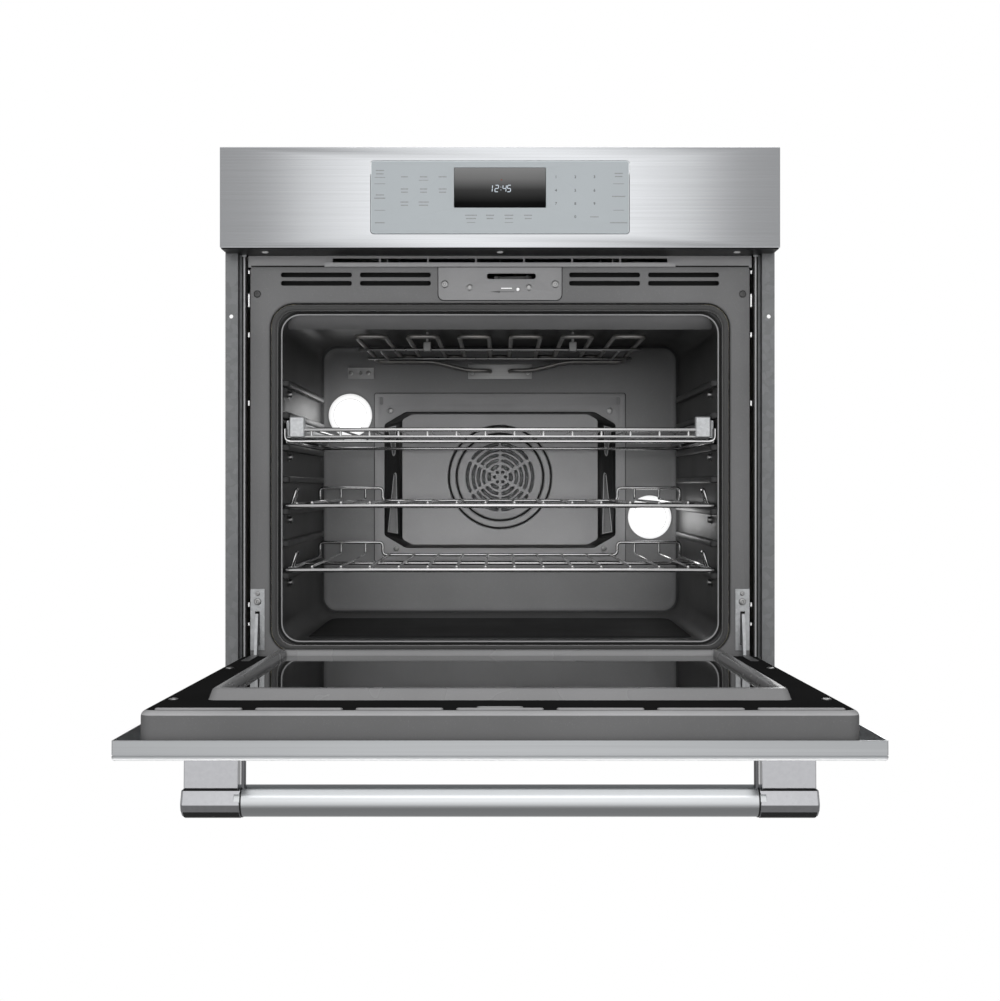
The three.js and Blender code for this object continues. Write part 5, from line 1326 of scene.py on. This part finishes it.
def curvedSlot(radius, centre, half, width, x, z):
    ring = []
    for way, start in [(1, 0), (-1, math.pi)]:
        run = radius + way * width / 2
        for i in range(9):
            turn = centre - way * half + way * 2 * half * i / 8
            ring.append((x + run * math.cos(turn), z + run * math.sin(turn)))
        end = centre + way * half
        cx, cz = x + radius * math.cos(end), z + radius * math.sin(end)
        for i in range(1, 6):
            bend = end + start + math.pi * i / 6
            ring.append((cx + width / 2 * math.cos(bend), cz + width / 2 * math.sin(bend)))
    return ring


# Draws a ring in, by different amounts along its two directions.
def shrinkBoth(ring, byU, byV):
    middle = [sum(point[k] for point in ring) / len(ring) for k in (0, 1)]
    return [(u + math.copysign(byU, middle[0] - u), v + math.copysign(byV, middle[1] - v)) for u, v in ring]


def buildFanCover():
    c = cover
    fan = c["fanZ"]
    base = softCorners(octagon(c["baseX"], *c["baseZ"], 36, 21), 4)
    face = softCorners(octagon(c["faceX"], *c["faceZ"], 16, 9), 4)
    parts = Parts()
    # The flange on the back wall.
    flange = roundedRing(-c["side"], c["side"], c["bottom"], c["top"], 3, 4)
    slits = [roundedRing(x - 3, x + 3, 421, 435, 2.9, 4) for x in (-202.6, 202.6)]
    flat = pressedSheet(flange, [base, *slits], c["back"] - 1.3, c["back"], 0.4)
    parts.add(flat.points, flat.faces)
    trims = Parts()
    # Plain slopes at the top, bottom and corners. The two side walls are left for their slotted sheets.
    n = len(base)
    lip = shrink(base, 1.2)
    crown = shrink(face, -1.0)
    y0, y1 = c["front"], c["back"]
    parts.add(*walls((crown, y0 + 1.0), (face, y0)))
    slopes = Parts()
    slopes.add(*walls((base, y1 - 1.2), (lip, y1 - 2.4)))
    points, faces = walls((lip, y1 - 2.4), (crown, y0 + 1.0))
    sideWalls = []
    for quad in faces:
        centre = sum((Vector(points[i]) for i in quad), Vector()) / len(quad)
        long = max((Vector(points[i]) - centre).length for i in quad) > 60
        if long and abs(centre.x) > 150:
            sideWalls.append(quad)
    slopes.add(points, [quad for quad in faces if quad not in sideWalls])
    for quad in sideWalls:
        corners = [Vector(points[i]) for i in quad]
        side = 1 if corners[0].x > 0 else -1
        outerPair = sorted([p for p in corners if p.y > (y0 + y1) / 2], key=lambda p: p.z)
        innerPair = sorted([p for p in corners if p.y <= (y0 + y1) / 2], key=lambda p: p.z)
        low, high = outerPair
        nearLow, nearHigh = innerPair

        def onWall(u, v, w, low=low, high=high, nearLow=nearLow, nearHigh=nearHigh, side=side):
            a, b = low.lerp(nearLow, v), high.lerp(nearHigh, v)
            t = (u - low.z) / (high.z - low.z)
            spot = a.lerp(b, t)
            return (spot.x - side * w * 0.7, spot.y + w * 0.7, spot.z)

        z0, z1 = low.z, high.z
        outline = [(z0, 0), (z1, 0), (z1, 1), (z0, 1)]
        upper = softCorners([(330, 0.50), (336, 0.44), (388, 0.2), (388, 0.62), (336, 0.6)], 3, 2)
        lower = softCorners([(196 + 8, 0.18), (300, 0.52), (306, 0.60), (300, 0.66), (196 + 8, 0.72)], 3, 2)
        holes = [[(min(max(u, z0 + 3), z1 - 3), v) for u, v in ring] for ring in (upper, lower)]
        slopes.add(*placedSheet(outline, holes, onWall, 1.2))
        # A raised edge, painted pale as a highlight, runs round each side opening.
        for hole in holes:
            trims.add(*placedSheet(shrink(hole, -0.02), [shrinkBoth(hole, 1.1, 0.022)], onWall, -0.3))
    # The round guard in the face: two grooves round a slotted disc.
    def around(radius):
        return circleRing(0, fan, radius, c["sides"])

    ringOuter = around(c["guard"])
    parts.add(*flatFace([face, ringOuter], y0))
    steps = [(89, 0), (88.2, 0.8), (87.6, 5), (86, 6), (85, 5), (84.2, 0.2), (83.4, -0.4), (76.4, -0.4),
             (75.4, 0.2), (74.6, 3.6), (73, 4.6), (71.6, 3.6), (71, 0.6), (70.2, 0.1)]
    parts.add(*loft([atY(around(radius), y0 + depth) for radius, depth in steps]))
    holes = []
    for radius in c["slots"]:
        half = math.pi / 6 - math.asin((1.9 + 3) / radius)
        width = 5.6 if radius > 20 else 6
        for n in range(6):
            holes.append(curvedSlot(radius, n * math.pi / 3, half, width, 0, fan))
    for n in range(6):
        turn = n * math.pi / 3
        holes.append(circleRing(9.2 * math.cos(turn), fan + 9.2 * math.sin(turn), 2.9, 12))
    disc = pressedSheet(around(c["disc"]), holes, y0 + 0.05, y0 + 1.4, 0.35)
    parts.add(disc.points, disc.faces)
    piece = parts.piece("fanCoverPanel", coverEnamel, "oven_body", "grey_enamel", 25)
    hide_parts("fan_cover")
    # The slopes are painted near black as painted shade; the pressed sheet is the same enamel as the face.
    slopes.piece("fanCoverWalls", paintedShadeEnamel, "oven_body", "grey_enamel", 25)
    trims.piece("fanCoverEdgeHighlights", lipEnamel, "oven_body", "grey_enamel", 25)
    # Painted shade: dark sheets behind each slot, in both grooves, and round the flange.
    shade = Parts()
    behind = [shrink(hole, 1.0) for hole in holes]
    shade.add(*sheetWithHoles(around(70), behind, y0 + 1.5, y0 + 1.7))
    for outer, inner in [(87.7, 84.5), (74.9, 71.7)]:
        shade.add(*sheetWithHoles(around(outer), [around(inner)], y0 + 2.2, y0 + 2.5))
    shade.add(*sheetWithHoles(shrink(flange, -1.2), [shrink(flange, 2)], y1 + 0.02, y1 + 0.2))
    shade.piece("fanCoverShade", shadePaint, "oven_body", "grey_enamel")
    screws = Parts()
    for x, z in c["screws"]:
        screwHead(screws, x, y1 - 1.3, z, 4.8, 1.8)
    screws.piece("fanCoverScrews", screwSteel, "oven_body", "grey_enamel")


buildFanCover()
keep("convection_fan", fanSteel)
keep("convection_motor", zincSheet, 0.4)
print("fan cover built")


rack = {"x": 298, "front": 32, "back": 388, "rail": 3.2, "wire": 2.0, "wires": 14, "pitch": 40.5, "stop": 24,
        "stopInner": 194, "stopUprights": (218, 257)}
wireX = [(i - (rack["wires"] - 1) / 2) * rack["pitch"] for i in range(rack["wires"])]


def plainRack(name, node, body, z):
    r = rack
    parts = Parts()
    top = z + r["rail"] + r["wire"] - 0.8
    stop = z + r["stop"]
    x, inner, front, back = r["x"], r["stopInner"], r["front"], r["back"]
    parts.add(*tube([(-x - 2, front, z), (x + 2, front, z)], r["rail"], 16))
    parts.add(*tube([(-x, (front + back) / 2 - 10, z), (x, (front + back) / 2 - 10, z)], 2.5, 12))
    left = [(-x, back, z), (-x, back, stop), (-inner, back, stop), (-inner, back, top - 1)]
    backRoute = left + [(-across, y, height) for across, y, height in reversed(left)]
    parts.add(*tube(bent(backRoute, 7, 6), 2.6, 12))
    for side in (-1, 1):
        parts.add(*tube([(side * x, front - 1, z), (side * x, back + 2, z)], r["rail"], 14))
        lean = side * (x - 7)
        loop = [(side * x, 70, z), (lean, 72, z + 23), (lean, 92, z + 23), (side * x, 96, z)]
        parts.add(*tube(bent(loop, 6, 5), r["wire"], 10))
    for wx in wireX:
        run = [(wx, front - 1, top), (wx, back, top)]
        if abs(wx) > inner:
            run.append((wx, back, stop - 1))
        else:
            run[-1] = (wx, back + 2, top)
        parts.add(*tube(bent(run, 6, 5), r["wire"], 10))
    piece = parts.piece(name, rackChrome, body, "rack_chrome", 60)
    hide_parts(node)


plainRack("lowerRackWires", "lower_rack", "rack_bottom", 165.0)
plainRack("middleRackWires", "middle_rack", "rack_centre", 255.0)


topRack = {"seat": 341.8, "front": 36, "back": 432, "outer": 299.2, "horn": 301, "hornY": 30, "wireX": 298,
           "slideLow": 8.5, "slideHigh": 32.5, "deckFront": 27}


def buildTelescopicRack():
    t = topRack
    seat, y0, y1, outer, hornX = t["seat"], t["front"], t["back"], t["outer"], t["horn"]
    z = seat + 3.2
    slide0, slide1 = seat + t["slideLow"], seat + t["slideHigh"]
    frameParts = Parts()
    horns = [(x, t["hornY"], height) for x, height in [(-hornX, slide1 - 12), (-hornX, z), (hornX, z),
                                                       (hornX, slide1 - 12)]]
    frameParts.add(*tube(bent(horns, 9, 6), 2.2, 14))
    frameParts.add(*tube([(-t["wireX"], y1 - 16, z), (t["wireX"], y1 - 16, z)], 2.5, 12))
    for side in (-1, 1):
        x = side * t["wireX"]
        frameParts.add(*tube([(x, t["hornY"], z), (x, y1 - 14, z)], 3.0, 12))
        for y in (70, 370):
            frameParts.add(*sideBlock(side, outer - 3, outer - 0.2, y, y + 20, z, slide0 + 1, 0.3))
    piece = frameParts.piece("upperRackBaseWires", rackChrome, "oven_body", "rack_chrome", 60)
    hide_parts("upper_rack_frame")
    # The fixed rails are rolled channels.
    rails = Parts()
    for side in (-1, 1):
        profile = [(9.5, 0), (9.5, 1.2), (1.8, 1.2), (1.2, 1.8), (1.2, 22.2), (1.8, 22.8), (9.5, 22.8),
                   (9.5, 24), (1, 24), (0, 23), (0, 1), (1, 0)]
        rings = [[(side * (outer - a), y, slide0 + b) for a, b in profile] for y in (y0, y1)]
        rails.add(*loft(rings, True, True))
    rails.piece("upperRackRails", slideSteel, "oven_body", "rack_chrome")
    keep("slide_member_left", slideSteel, 0.3)
    keep("slide_member_right", slideSteel, 0.3)
    deck = Parts()
    barX0 = outer - 12.5
    lipY = t["deckFront"]
    barLow = slide0 + 4.4
    crossZ = barLow + 3
    topZ = crossZ + 3.5
    lowZ = topZ - 9.5
    deckEnd = y1 - 12
    blockX0 = barX0 - 14
    deck.add(*tube([(-blockX0 - 2, lipY, topZ), (blockX0 + 2, lipY, topZ)], 3.0, 18))
    deck.add(*tube([(-blockX0 - 2, lipY, lowZ), (blockX0 + 2, lipY, lowZ)], 2.0, 14))
    for y in ((y0 + deckEnd) / 2, deckEnd - 4):
        deck.add(*tube([(-barX0 - 1, y, crossZ), (barX0 + 1, y, crossZ)], 2.4, 12))
    for wx in wireX:
        if abs(wx) < barX0 - 8:
            run = [(wx, lipY, lowZ), (wx, lipY, topZ), (wx, deckEnd - 2, topZ)]
            deck.add(*tube(bent(run, 3, 4), 1.8, 10))
    piece = deck.piece("upperDeckWires", rackChrome, "rack_deck", "rack_chrome", 60)
    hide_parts("upper_rack_deck")
    bars = Parts()
    for side in (-1, 1):
        bars.add(*sideBlock(side, barX0, outer - 4.4, 32, y1 - 6, barLow, slide1 - 4.4, 0.6))
    bars.piece("upperDeckBars", slideSteel, "rack_deck", "rack_chrome")
    ends = Parts()
    for side in (-1, 1):
        ends.add(*sideBlock(side, blockX0, blockX0 + 21, lipY - 4, 34, slide0, slide1 + 5, 1.4))
    ends.piece("upperDeckEndBlocks", blockNickel, "rack_deck", "rack_chrome")


buildTelescopicRack()
print("racks built")


door = {"side": 378, "bottom": 39, "top": 598, "front": -40, "back": -20, "sheet": 1.2}
pane = {"side": 235, "bottom": 150, "top": 440, "corner": 10}


def buildDoorSkin():
    d = door
    rim = roundedRing(-d["side"], d["side"], d["bottom"], d["top"], 1.6, 3)
    window = roundedRing(-pane["side"], pane["side"], pane["bottom"], pane["top"], pane["corner"], 6)
    face = shrink(rim, 3.2)
    wide = shrink(window, -0.6)
    parts = Parts()
    parts.add(*flatFace([face, wide], d["front"]))
    lining = shrink(rim, d["sheet"])
    # A fine groove runs round the edge, behind its rounded front.
    steps = [(3.2, 0), (1.7, 0.35), (0.7, 1.2), (0.1, 2.6), (0, 3.6), (0, 4.6), (0.9, 4.9), (0.9, 5.5),
             (0, 5.8), (0, 19.6), (0.3, 20)]
    rings = [atY(shrink(rim, inset), d["front"] + depth) for inset, depth in steps]
    parts.add(*loft(rings[:2]))
    parts.add(*loft([*rings[3:], atY(lining, d["back"]), atY(lining, d["front"] + d["sheet"])]))
    # The rounded front edge is painted in the paler steel as a painted highlight.
    Parts().add(*loft(rings[1:4])).piece("doorSkinEdgeHighlight", skinEdgeHighlight, "door", "stainless")
    parts.add(*walls((wide, d["front"]), (window, d["front"] + 0.6), (window, d["front"] + d["sheet"])))
    piece = parts.piece("doorOuterSkin", stainlessDoor, "door", "stainless")
    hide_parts("door_skin")


buildDoorSkin()
keep("door_outer_glass", doorGlass)
keep("door_inner_glass", doorGlass)


def cutAway(piece, cutters):
    for low, high in cutters:
        mesh = bpy.data.meshes.new("cutter")
        shape = bmesh.new()
        bmesh.ops.create_cube(shape, size=1)
        for vert in shape.verts:
            spot = [low[i] if vert.co[i] < 0 else high[i] for i in range(3)]
            vert.co = doorTurn @ inFrame(*spot)
        shape.to_mesh(mesh)
        shape.free()
        cutter = bpy.data.objects.new("cutter", mesh)
        bpy.context.scene.collection.objects.link(cutter)
        tool = piece.modifiers.new("cut", "BOOLEAN")
        tool.operation = "DIFFERENCE"
        tool.solver = "EXACT"
        tool.object = cutter
        bpy.context.view_layer.update()
        made = bpy.data.meshes.new_from_object(piece.evaluated_get(bpy.context.evaluated_depsgraph_get()))
        piece.modifiers.clear()
        old = piece.data
        piece.data = made
        bpy.data.meshes.remove(old)
        bpy.data.objects.remove(cutter)


doorLiner = {"side": 354, "bottom": 46, "top": 591, "foot": -33.4, "front": 8, "edge": 6.5, "sheet": 1.2,
             "vents": range(-3, 4), "ventPitch": 99, "ventHalf": 41, "hingeX": 336}


def buildDoorLiner():
    d = doorLiner
    foot, front, edge, sheet = d["foot"], d["front"], d["edge"], d["sheet"]
    opening = roundedRing(-276, 276, 99, 487, 10, 6)
    holes = [opening, roundedRing(-21, 21, 568.5, 576, 1.2, 2)]
    for i in d["vents"]:
        x = i * d["ventPitch"]
        holes.append(roundedRing(x - d["ventHalf"], x + d["ventHalf"], 579.2, 582.2, 1.2, 3))

    def liner(inset):
        side = d["side"] - inset
        return roundedRing(-side, side, d["bottom"] + inset, d["top"] - inset, 12 - inset * 0.8, 8)

    parts = Parts()
    face = liner(edge)
    parts.add(*flatFace([face, *holes], front))
    parts.add(*walls((face, front), (liner(edge * 0.74), front - edge * 0.03)))
    parts.add(*flatFace([shrink(face, 0.2), *holes], front - sheet))
    for hole in holes:
        parts.add(*walls((hole, front), (hole, front - sheet)))
    piece = parts.piece("doorInnerLiner", doorEnamel, "door", "black_enamel", 40)
    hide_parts("door_liner")
    # The rim turns down to the skin. The bend and rim are painted lighter than the face as painted highlight; the
    # enamel is the same.
    bend = []
    for i in range(1, 7):
        turn = math.radians(90 * i / 6)
        bend.append(atY(liner(edge * (1 - math.sin(turn))), front - edge * (1 - math.cos(turn))))
    bendPiece = Parts().add(*loft(bend[:5])).piece("doorLinerBend", highlightEnamel, "door", "black_enamel", 40)
    inside = liner(sheet)
    rings = [*bend[4:], atY(liner(0), foot), atY(inside, foot), atY(inside, front - edge),
             atY(shrink(face, 0.2), front - sheet)]
    rimPiece = Parts().add(*loft(rings)).piece("doorLinerRim", rimLitEnamel, "door", "black_enamel", 40)
    # A slot for each hinge arm, cut no higher than the liner's face.
    slots = [((x - 5.4, foot - 0.6, 40), (x + 5.4, front + 0.6, 116)) for x in (-d["hingeX"], d["hingeX"])]
    for made in (piece, bendPiece, rimPiece):
        cutAway(made, slots)
    # A raised lip runs round each vent and round the latch slot, painted pale as a highlight.
    lips = Parts()
    rise = [(-2.2, -0.1), (-1.8, 0.8), (-1.1, 1.2), (-0.3, 0.9)]
    for hole in holes[1:]:
        stages = [(shrink(hole, grow), front + height) for grow, height in rise]
        lips.add(*walls(*stages, (hole, front - sheet)))
    lips.piece("doorLinerLips", highlightEnamel, "door", "black_enamel", 50)
    screws = Parts()
    head = [(5.2, -0.2), (5.2, 0.5), (4.4, 1.3), (2.8, 1.6), (1.6, 0.9), (0.1, 0.8)]
    for x in (-339, 339):
        for z in (207, 507):
            screws.add(*turned(x, front, z, head, 18))
    screws.piece("doorLinerScrews", screwSteel, "door", "black_enamel")


buildDoorLiner()


# The section is (inset from the outline, height on the door, corner radius).
glassFrame = {
    "side": 303,
    "bottom": 72,
    "top": 514,
    "section": [(0, 8.2, 9), (0.6, 9.4, 9), (3.0, 16.6, 8), (3.9, 18.6, 7.4), (5.4, 19.7, 6.5),
                (7.4, 20, 5.5), (13.2, 20, 4), (14.8, 19.6, 3.4), (15.9, 18.6, 3), (16.6, 17, 2.6),
                (17, 12.4, 2.4), (17, 8.2, 2.4)],
}


def buildGlassFrame():
    g = glassFrame

    def ring(inset, corner):
        side = g["side"] - inset
        return roundedRing(-side, side, g["bottom"] + inset, g["top"] - inset, corner, 6)

    stages = g["section"]
    rings = [atY(ring(inset, corner), y) for inset, y, corner in stages]
    rings.append(rings[0])
    piece = Parts().add(*loft(rings)).piece("glassFrameRing", ringEnamel, "door", "grey_enamel", 60)
    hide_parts("glass_frame")


buildGlassFrame()
for end in ("left", "right"):
    keep("hinge_channel_" + end, zincHinge, 0.3)

handle = {"y": -90, "z": 538, "radius": 16, "half": 321, "post": 60, "skin": -40.3, "plate": (258.0, 261.2)}

# An end cap is drawn as flats round the bar, given as (towards the skin, out from the skin's face).
capFlats = [(13.2, 10.6), (12.0, 12.2), (-1.4, 17.1), (-2.0, 17.0), (-8.6, 14.9), (-9.2, 14.2), (-14.6, 8.4),
            (-17.2, 0)]


def capRing(x, scale):
    upper = [(out * scale, up * scale) for out, up in capFlats]
    whole = upper + [(out, -up) for out, up in reversed(upper[:-1])]
    return [(x, handle["y"] + out, handle["z"] + up) for out, up in whole]


# The lines, seen from the end, that the cap's painted dark reflections follow.
capReflectionLines = [[(-17.1, 1.2), (-14.7, 8.6), (-9.4, 14.2)], [(12.0, 12.3), (13.056, 11.628), (13.6, 10.5)]]


# A thin strip wrapped on the cap along a line, from one end of the cap to the other.
def reflectionBand(line, x0, x1):
    y, z = handle["y"], handle["z"]
    stages = [(x, grow) for x in (x0, x1) for grow in (0.98, 1.012)]
    points = [(x, y + out * grow, z + lift * grow) for x, grow in stages for out, lift in line]
    n = len(line)
    faces = [(0, n, 3 * n, 2 * n), (n - 1, 2 * n - 1, 4 * n - 1, 3 * n - 1)]
    for a, b in [(0, n), (2 * n, 3 * n), (n, 3 * n), (0, 2 * n)]:
        faces += [(a + i, a + i + 1, b + i + 1, b + i) for i in range(n - 1)]
    return points, faces


def buildHandle():
    h = handle
    inner = h["half"] - h["post"]
    y, z, r = h["y"], h["z"], h["radius"]
    rod = [(r - 0.6, -inner - 7), (r, -inner - 6.4), (r, inner + 6.4), (r - 0.6, inner + 7)]
    bar = Parts().add(*turnedX(y, z, rod, 96))
    piece = bar.piece("handleBar", satinBar, "door", "handle_metal", 40)
    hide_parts("handle_bar")
    for side, end in ((-1, "left"), (1, "right")):
        cap = Parts()
        tip = h["half"]
        stages = [(inner + 0.4, 0.97), (inner + 1.2, 1), (tip - 2.4, 1), (tip - 0.8, 0.95), (tip, 0.88)]
        cap.add(*loft([capRing(side * x, scale) for x, scale in stages], True, True))
        upper = [(y + 2, 8.6), (h["skin"] - 1.5, 8.6), (h["skin"], 9.4)]
        cheek = upper + [(cy, -cz) for cy, cz in reversed(upper)]
        rings = []
        for x, inset in [(inner + 3.6, 0.8), (inner + 4.4, 0), (h["half"] - 2.8, 0), (h["half"] - 2, 0.8)]:
            rings.append([(side * x, cy, z + cz * (1 - inset / r)) for cy, cz in cheek])
        cap.add(*loft(rings, True, True))
        post = cap.piece("handlePost_" + end, polishedCap, "door", "handle_cap", 6)
        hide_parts("handle_post_" + end)
        # Painted dark reflections run along the cap above and below, and a dark washer closes its inner end.
        shade = Parts()
        for up in (-1, 1):
            for line in capReflectionLines:
                shade.add(*reflectionBand([(out, lift * up) for out, lift in line], side * (inner + 1.4),
                                     side * (h["half"] - 2.4)))
        shade.add(*turnedX(y, z, [(r + 0.1, side * (inner - 1.0)), (r + 0.7, side * (inner - 0.8)),
                                  (r + 0.7, side * (inner + 0.5)), (r + 0.1, side * (inner + 0.5))], 72))
        shade.piece("handleCapReflection_" + end, capReflectionAndWasher, "door", "handle_cap", 20)
        # A thin plate stands beside the post, from the skin to the bar.
        plate = Parts().add(*sideBlock(side, *h["plate"], y + 12, h["skin"], z - 3, z + 8, 0.4))
        plate.piece("handlePlate_" + end, plateShade, "door", "handle_cap")


buildHandle()
print("door built")


for end in ("left", "right"):
    keep("hinge_claw_" + end, zincHinge, 0.3)
    keep("hinge_receiver_" + end, zincHinge, 0.3)
    keep("side_trim_" + end, zincTrim, 0.3)
    keep("side_panel_" + end, zincSheet, 0.3)
for name in ("base_pan", "top_cover", "rear_panel", "junction_box", "blower_motor", "blower_housing"):
    keep(name, zincSheet, 0.3)
keep("fascia_bracket", bracketEnamel, 0.3)
keep("bottom_trim", stainlessDoor, 0.2)
keep("insulation_wrap", wool)
keep("control_board", boardGreen)
keep("blower_wheel", slideSteel)


# Each screw is (height, head radius, rise).
hingeScrews = {"x": 335.6, "y": 10.1, "heads": [(122.5, 5.0, 2.0), (133.5, 3.2, 1.4)]}


def addHingeScrews():
    h = hingeScrews
    parts = Parts()
    for x in (-h["x"], h["x"]):
        for z, radius, rise in h["heads"]:
            screwHead(parts, x, h["y"], z, radius, rise)
    parts.piece("hingeScrews", screwSteel, "oven_body", "galvanised")


addHingeScrews()


casing = {"side": 357, "back": 574, "ribs": (180, 360, 540), "ribFront": 60, "ribBack": 520, "ribHalf": 12,
          "backX": (-340, -170, 0, 170, 340), "backZ": (10, 702), "sideY": (40, 220, 400, 545), "sideZ": (9, 703)}


# Screws and pressed ribs on the casing's sides and back.
def dressCasing():
    c = casing
    screws = Parts()
    profile = [(4.2, -0.2), (4.2, 0.7), (3.6, 1.4), (2.4, 1.7), (1.4, 0.9), (0.1, 0.8)]
    for x in c["backX"]:
        for z in c["backZ"]:
            screws.add(*turned(x, c["back"], z, profile, 16))
    for side in (-1, 1):
        head = [(radius, side * (c["side"] + rise)) for radius, rise in profile]
        for y in c["sideY"]:
            for z in c["sideZ"]:
                screws.add(*turnedX(y, z, head, 16))
    screws.piece("casingScrews", screwSteel, "oven_body", "galvanised")
    ribs = Parts()
    for side in (-1, 1):
        for z in c["ribs"]:
            rings = []
            for inset, rise in [(0, -0.2), (2.5, 0.5), (5, 1.4), (7.5, 1.8)]:
                half = c["ribHalf"] - inset
                flat = roundedRing(c["ribFront"] + inset, c["ribBack"] - inset, z - half, z + half, half, 8)
                rings.append([(side * (c["side"] + rise), y, height) for y, height in flat])
            ribs.add(*loft(rings, False, True))
    ribs.piece("sideRibs", zincSheet, "oven_body", "galvanised", 50)


dressCasing()
print("casing dressed")

for name, piece in nodes.items():
    if not piece.data.materials or piece.data.materials[0] is None:
        print("no finish yet:", name)
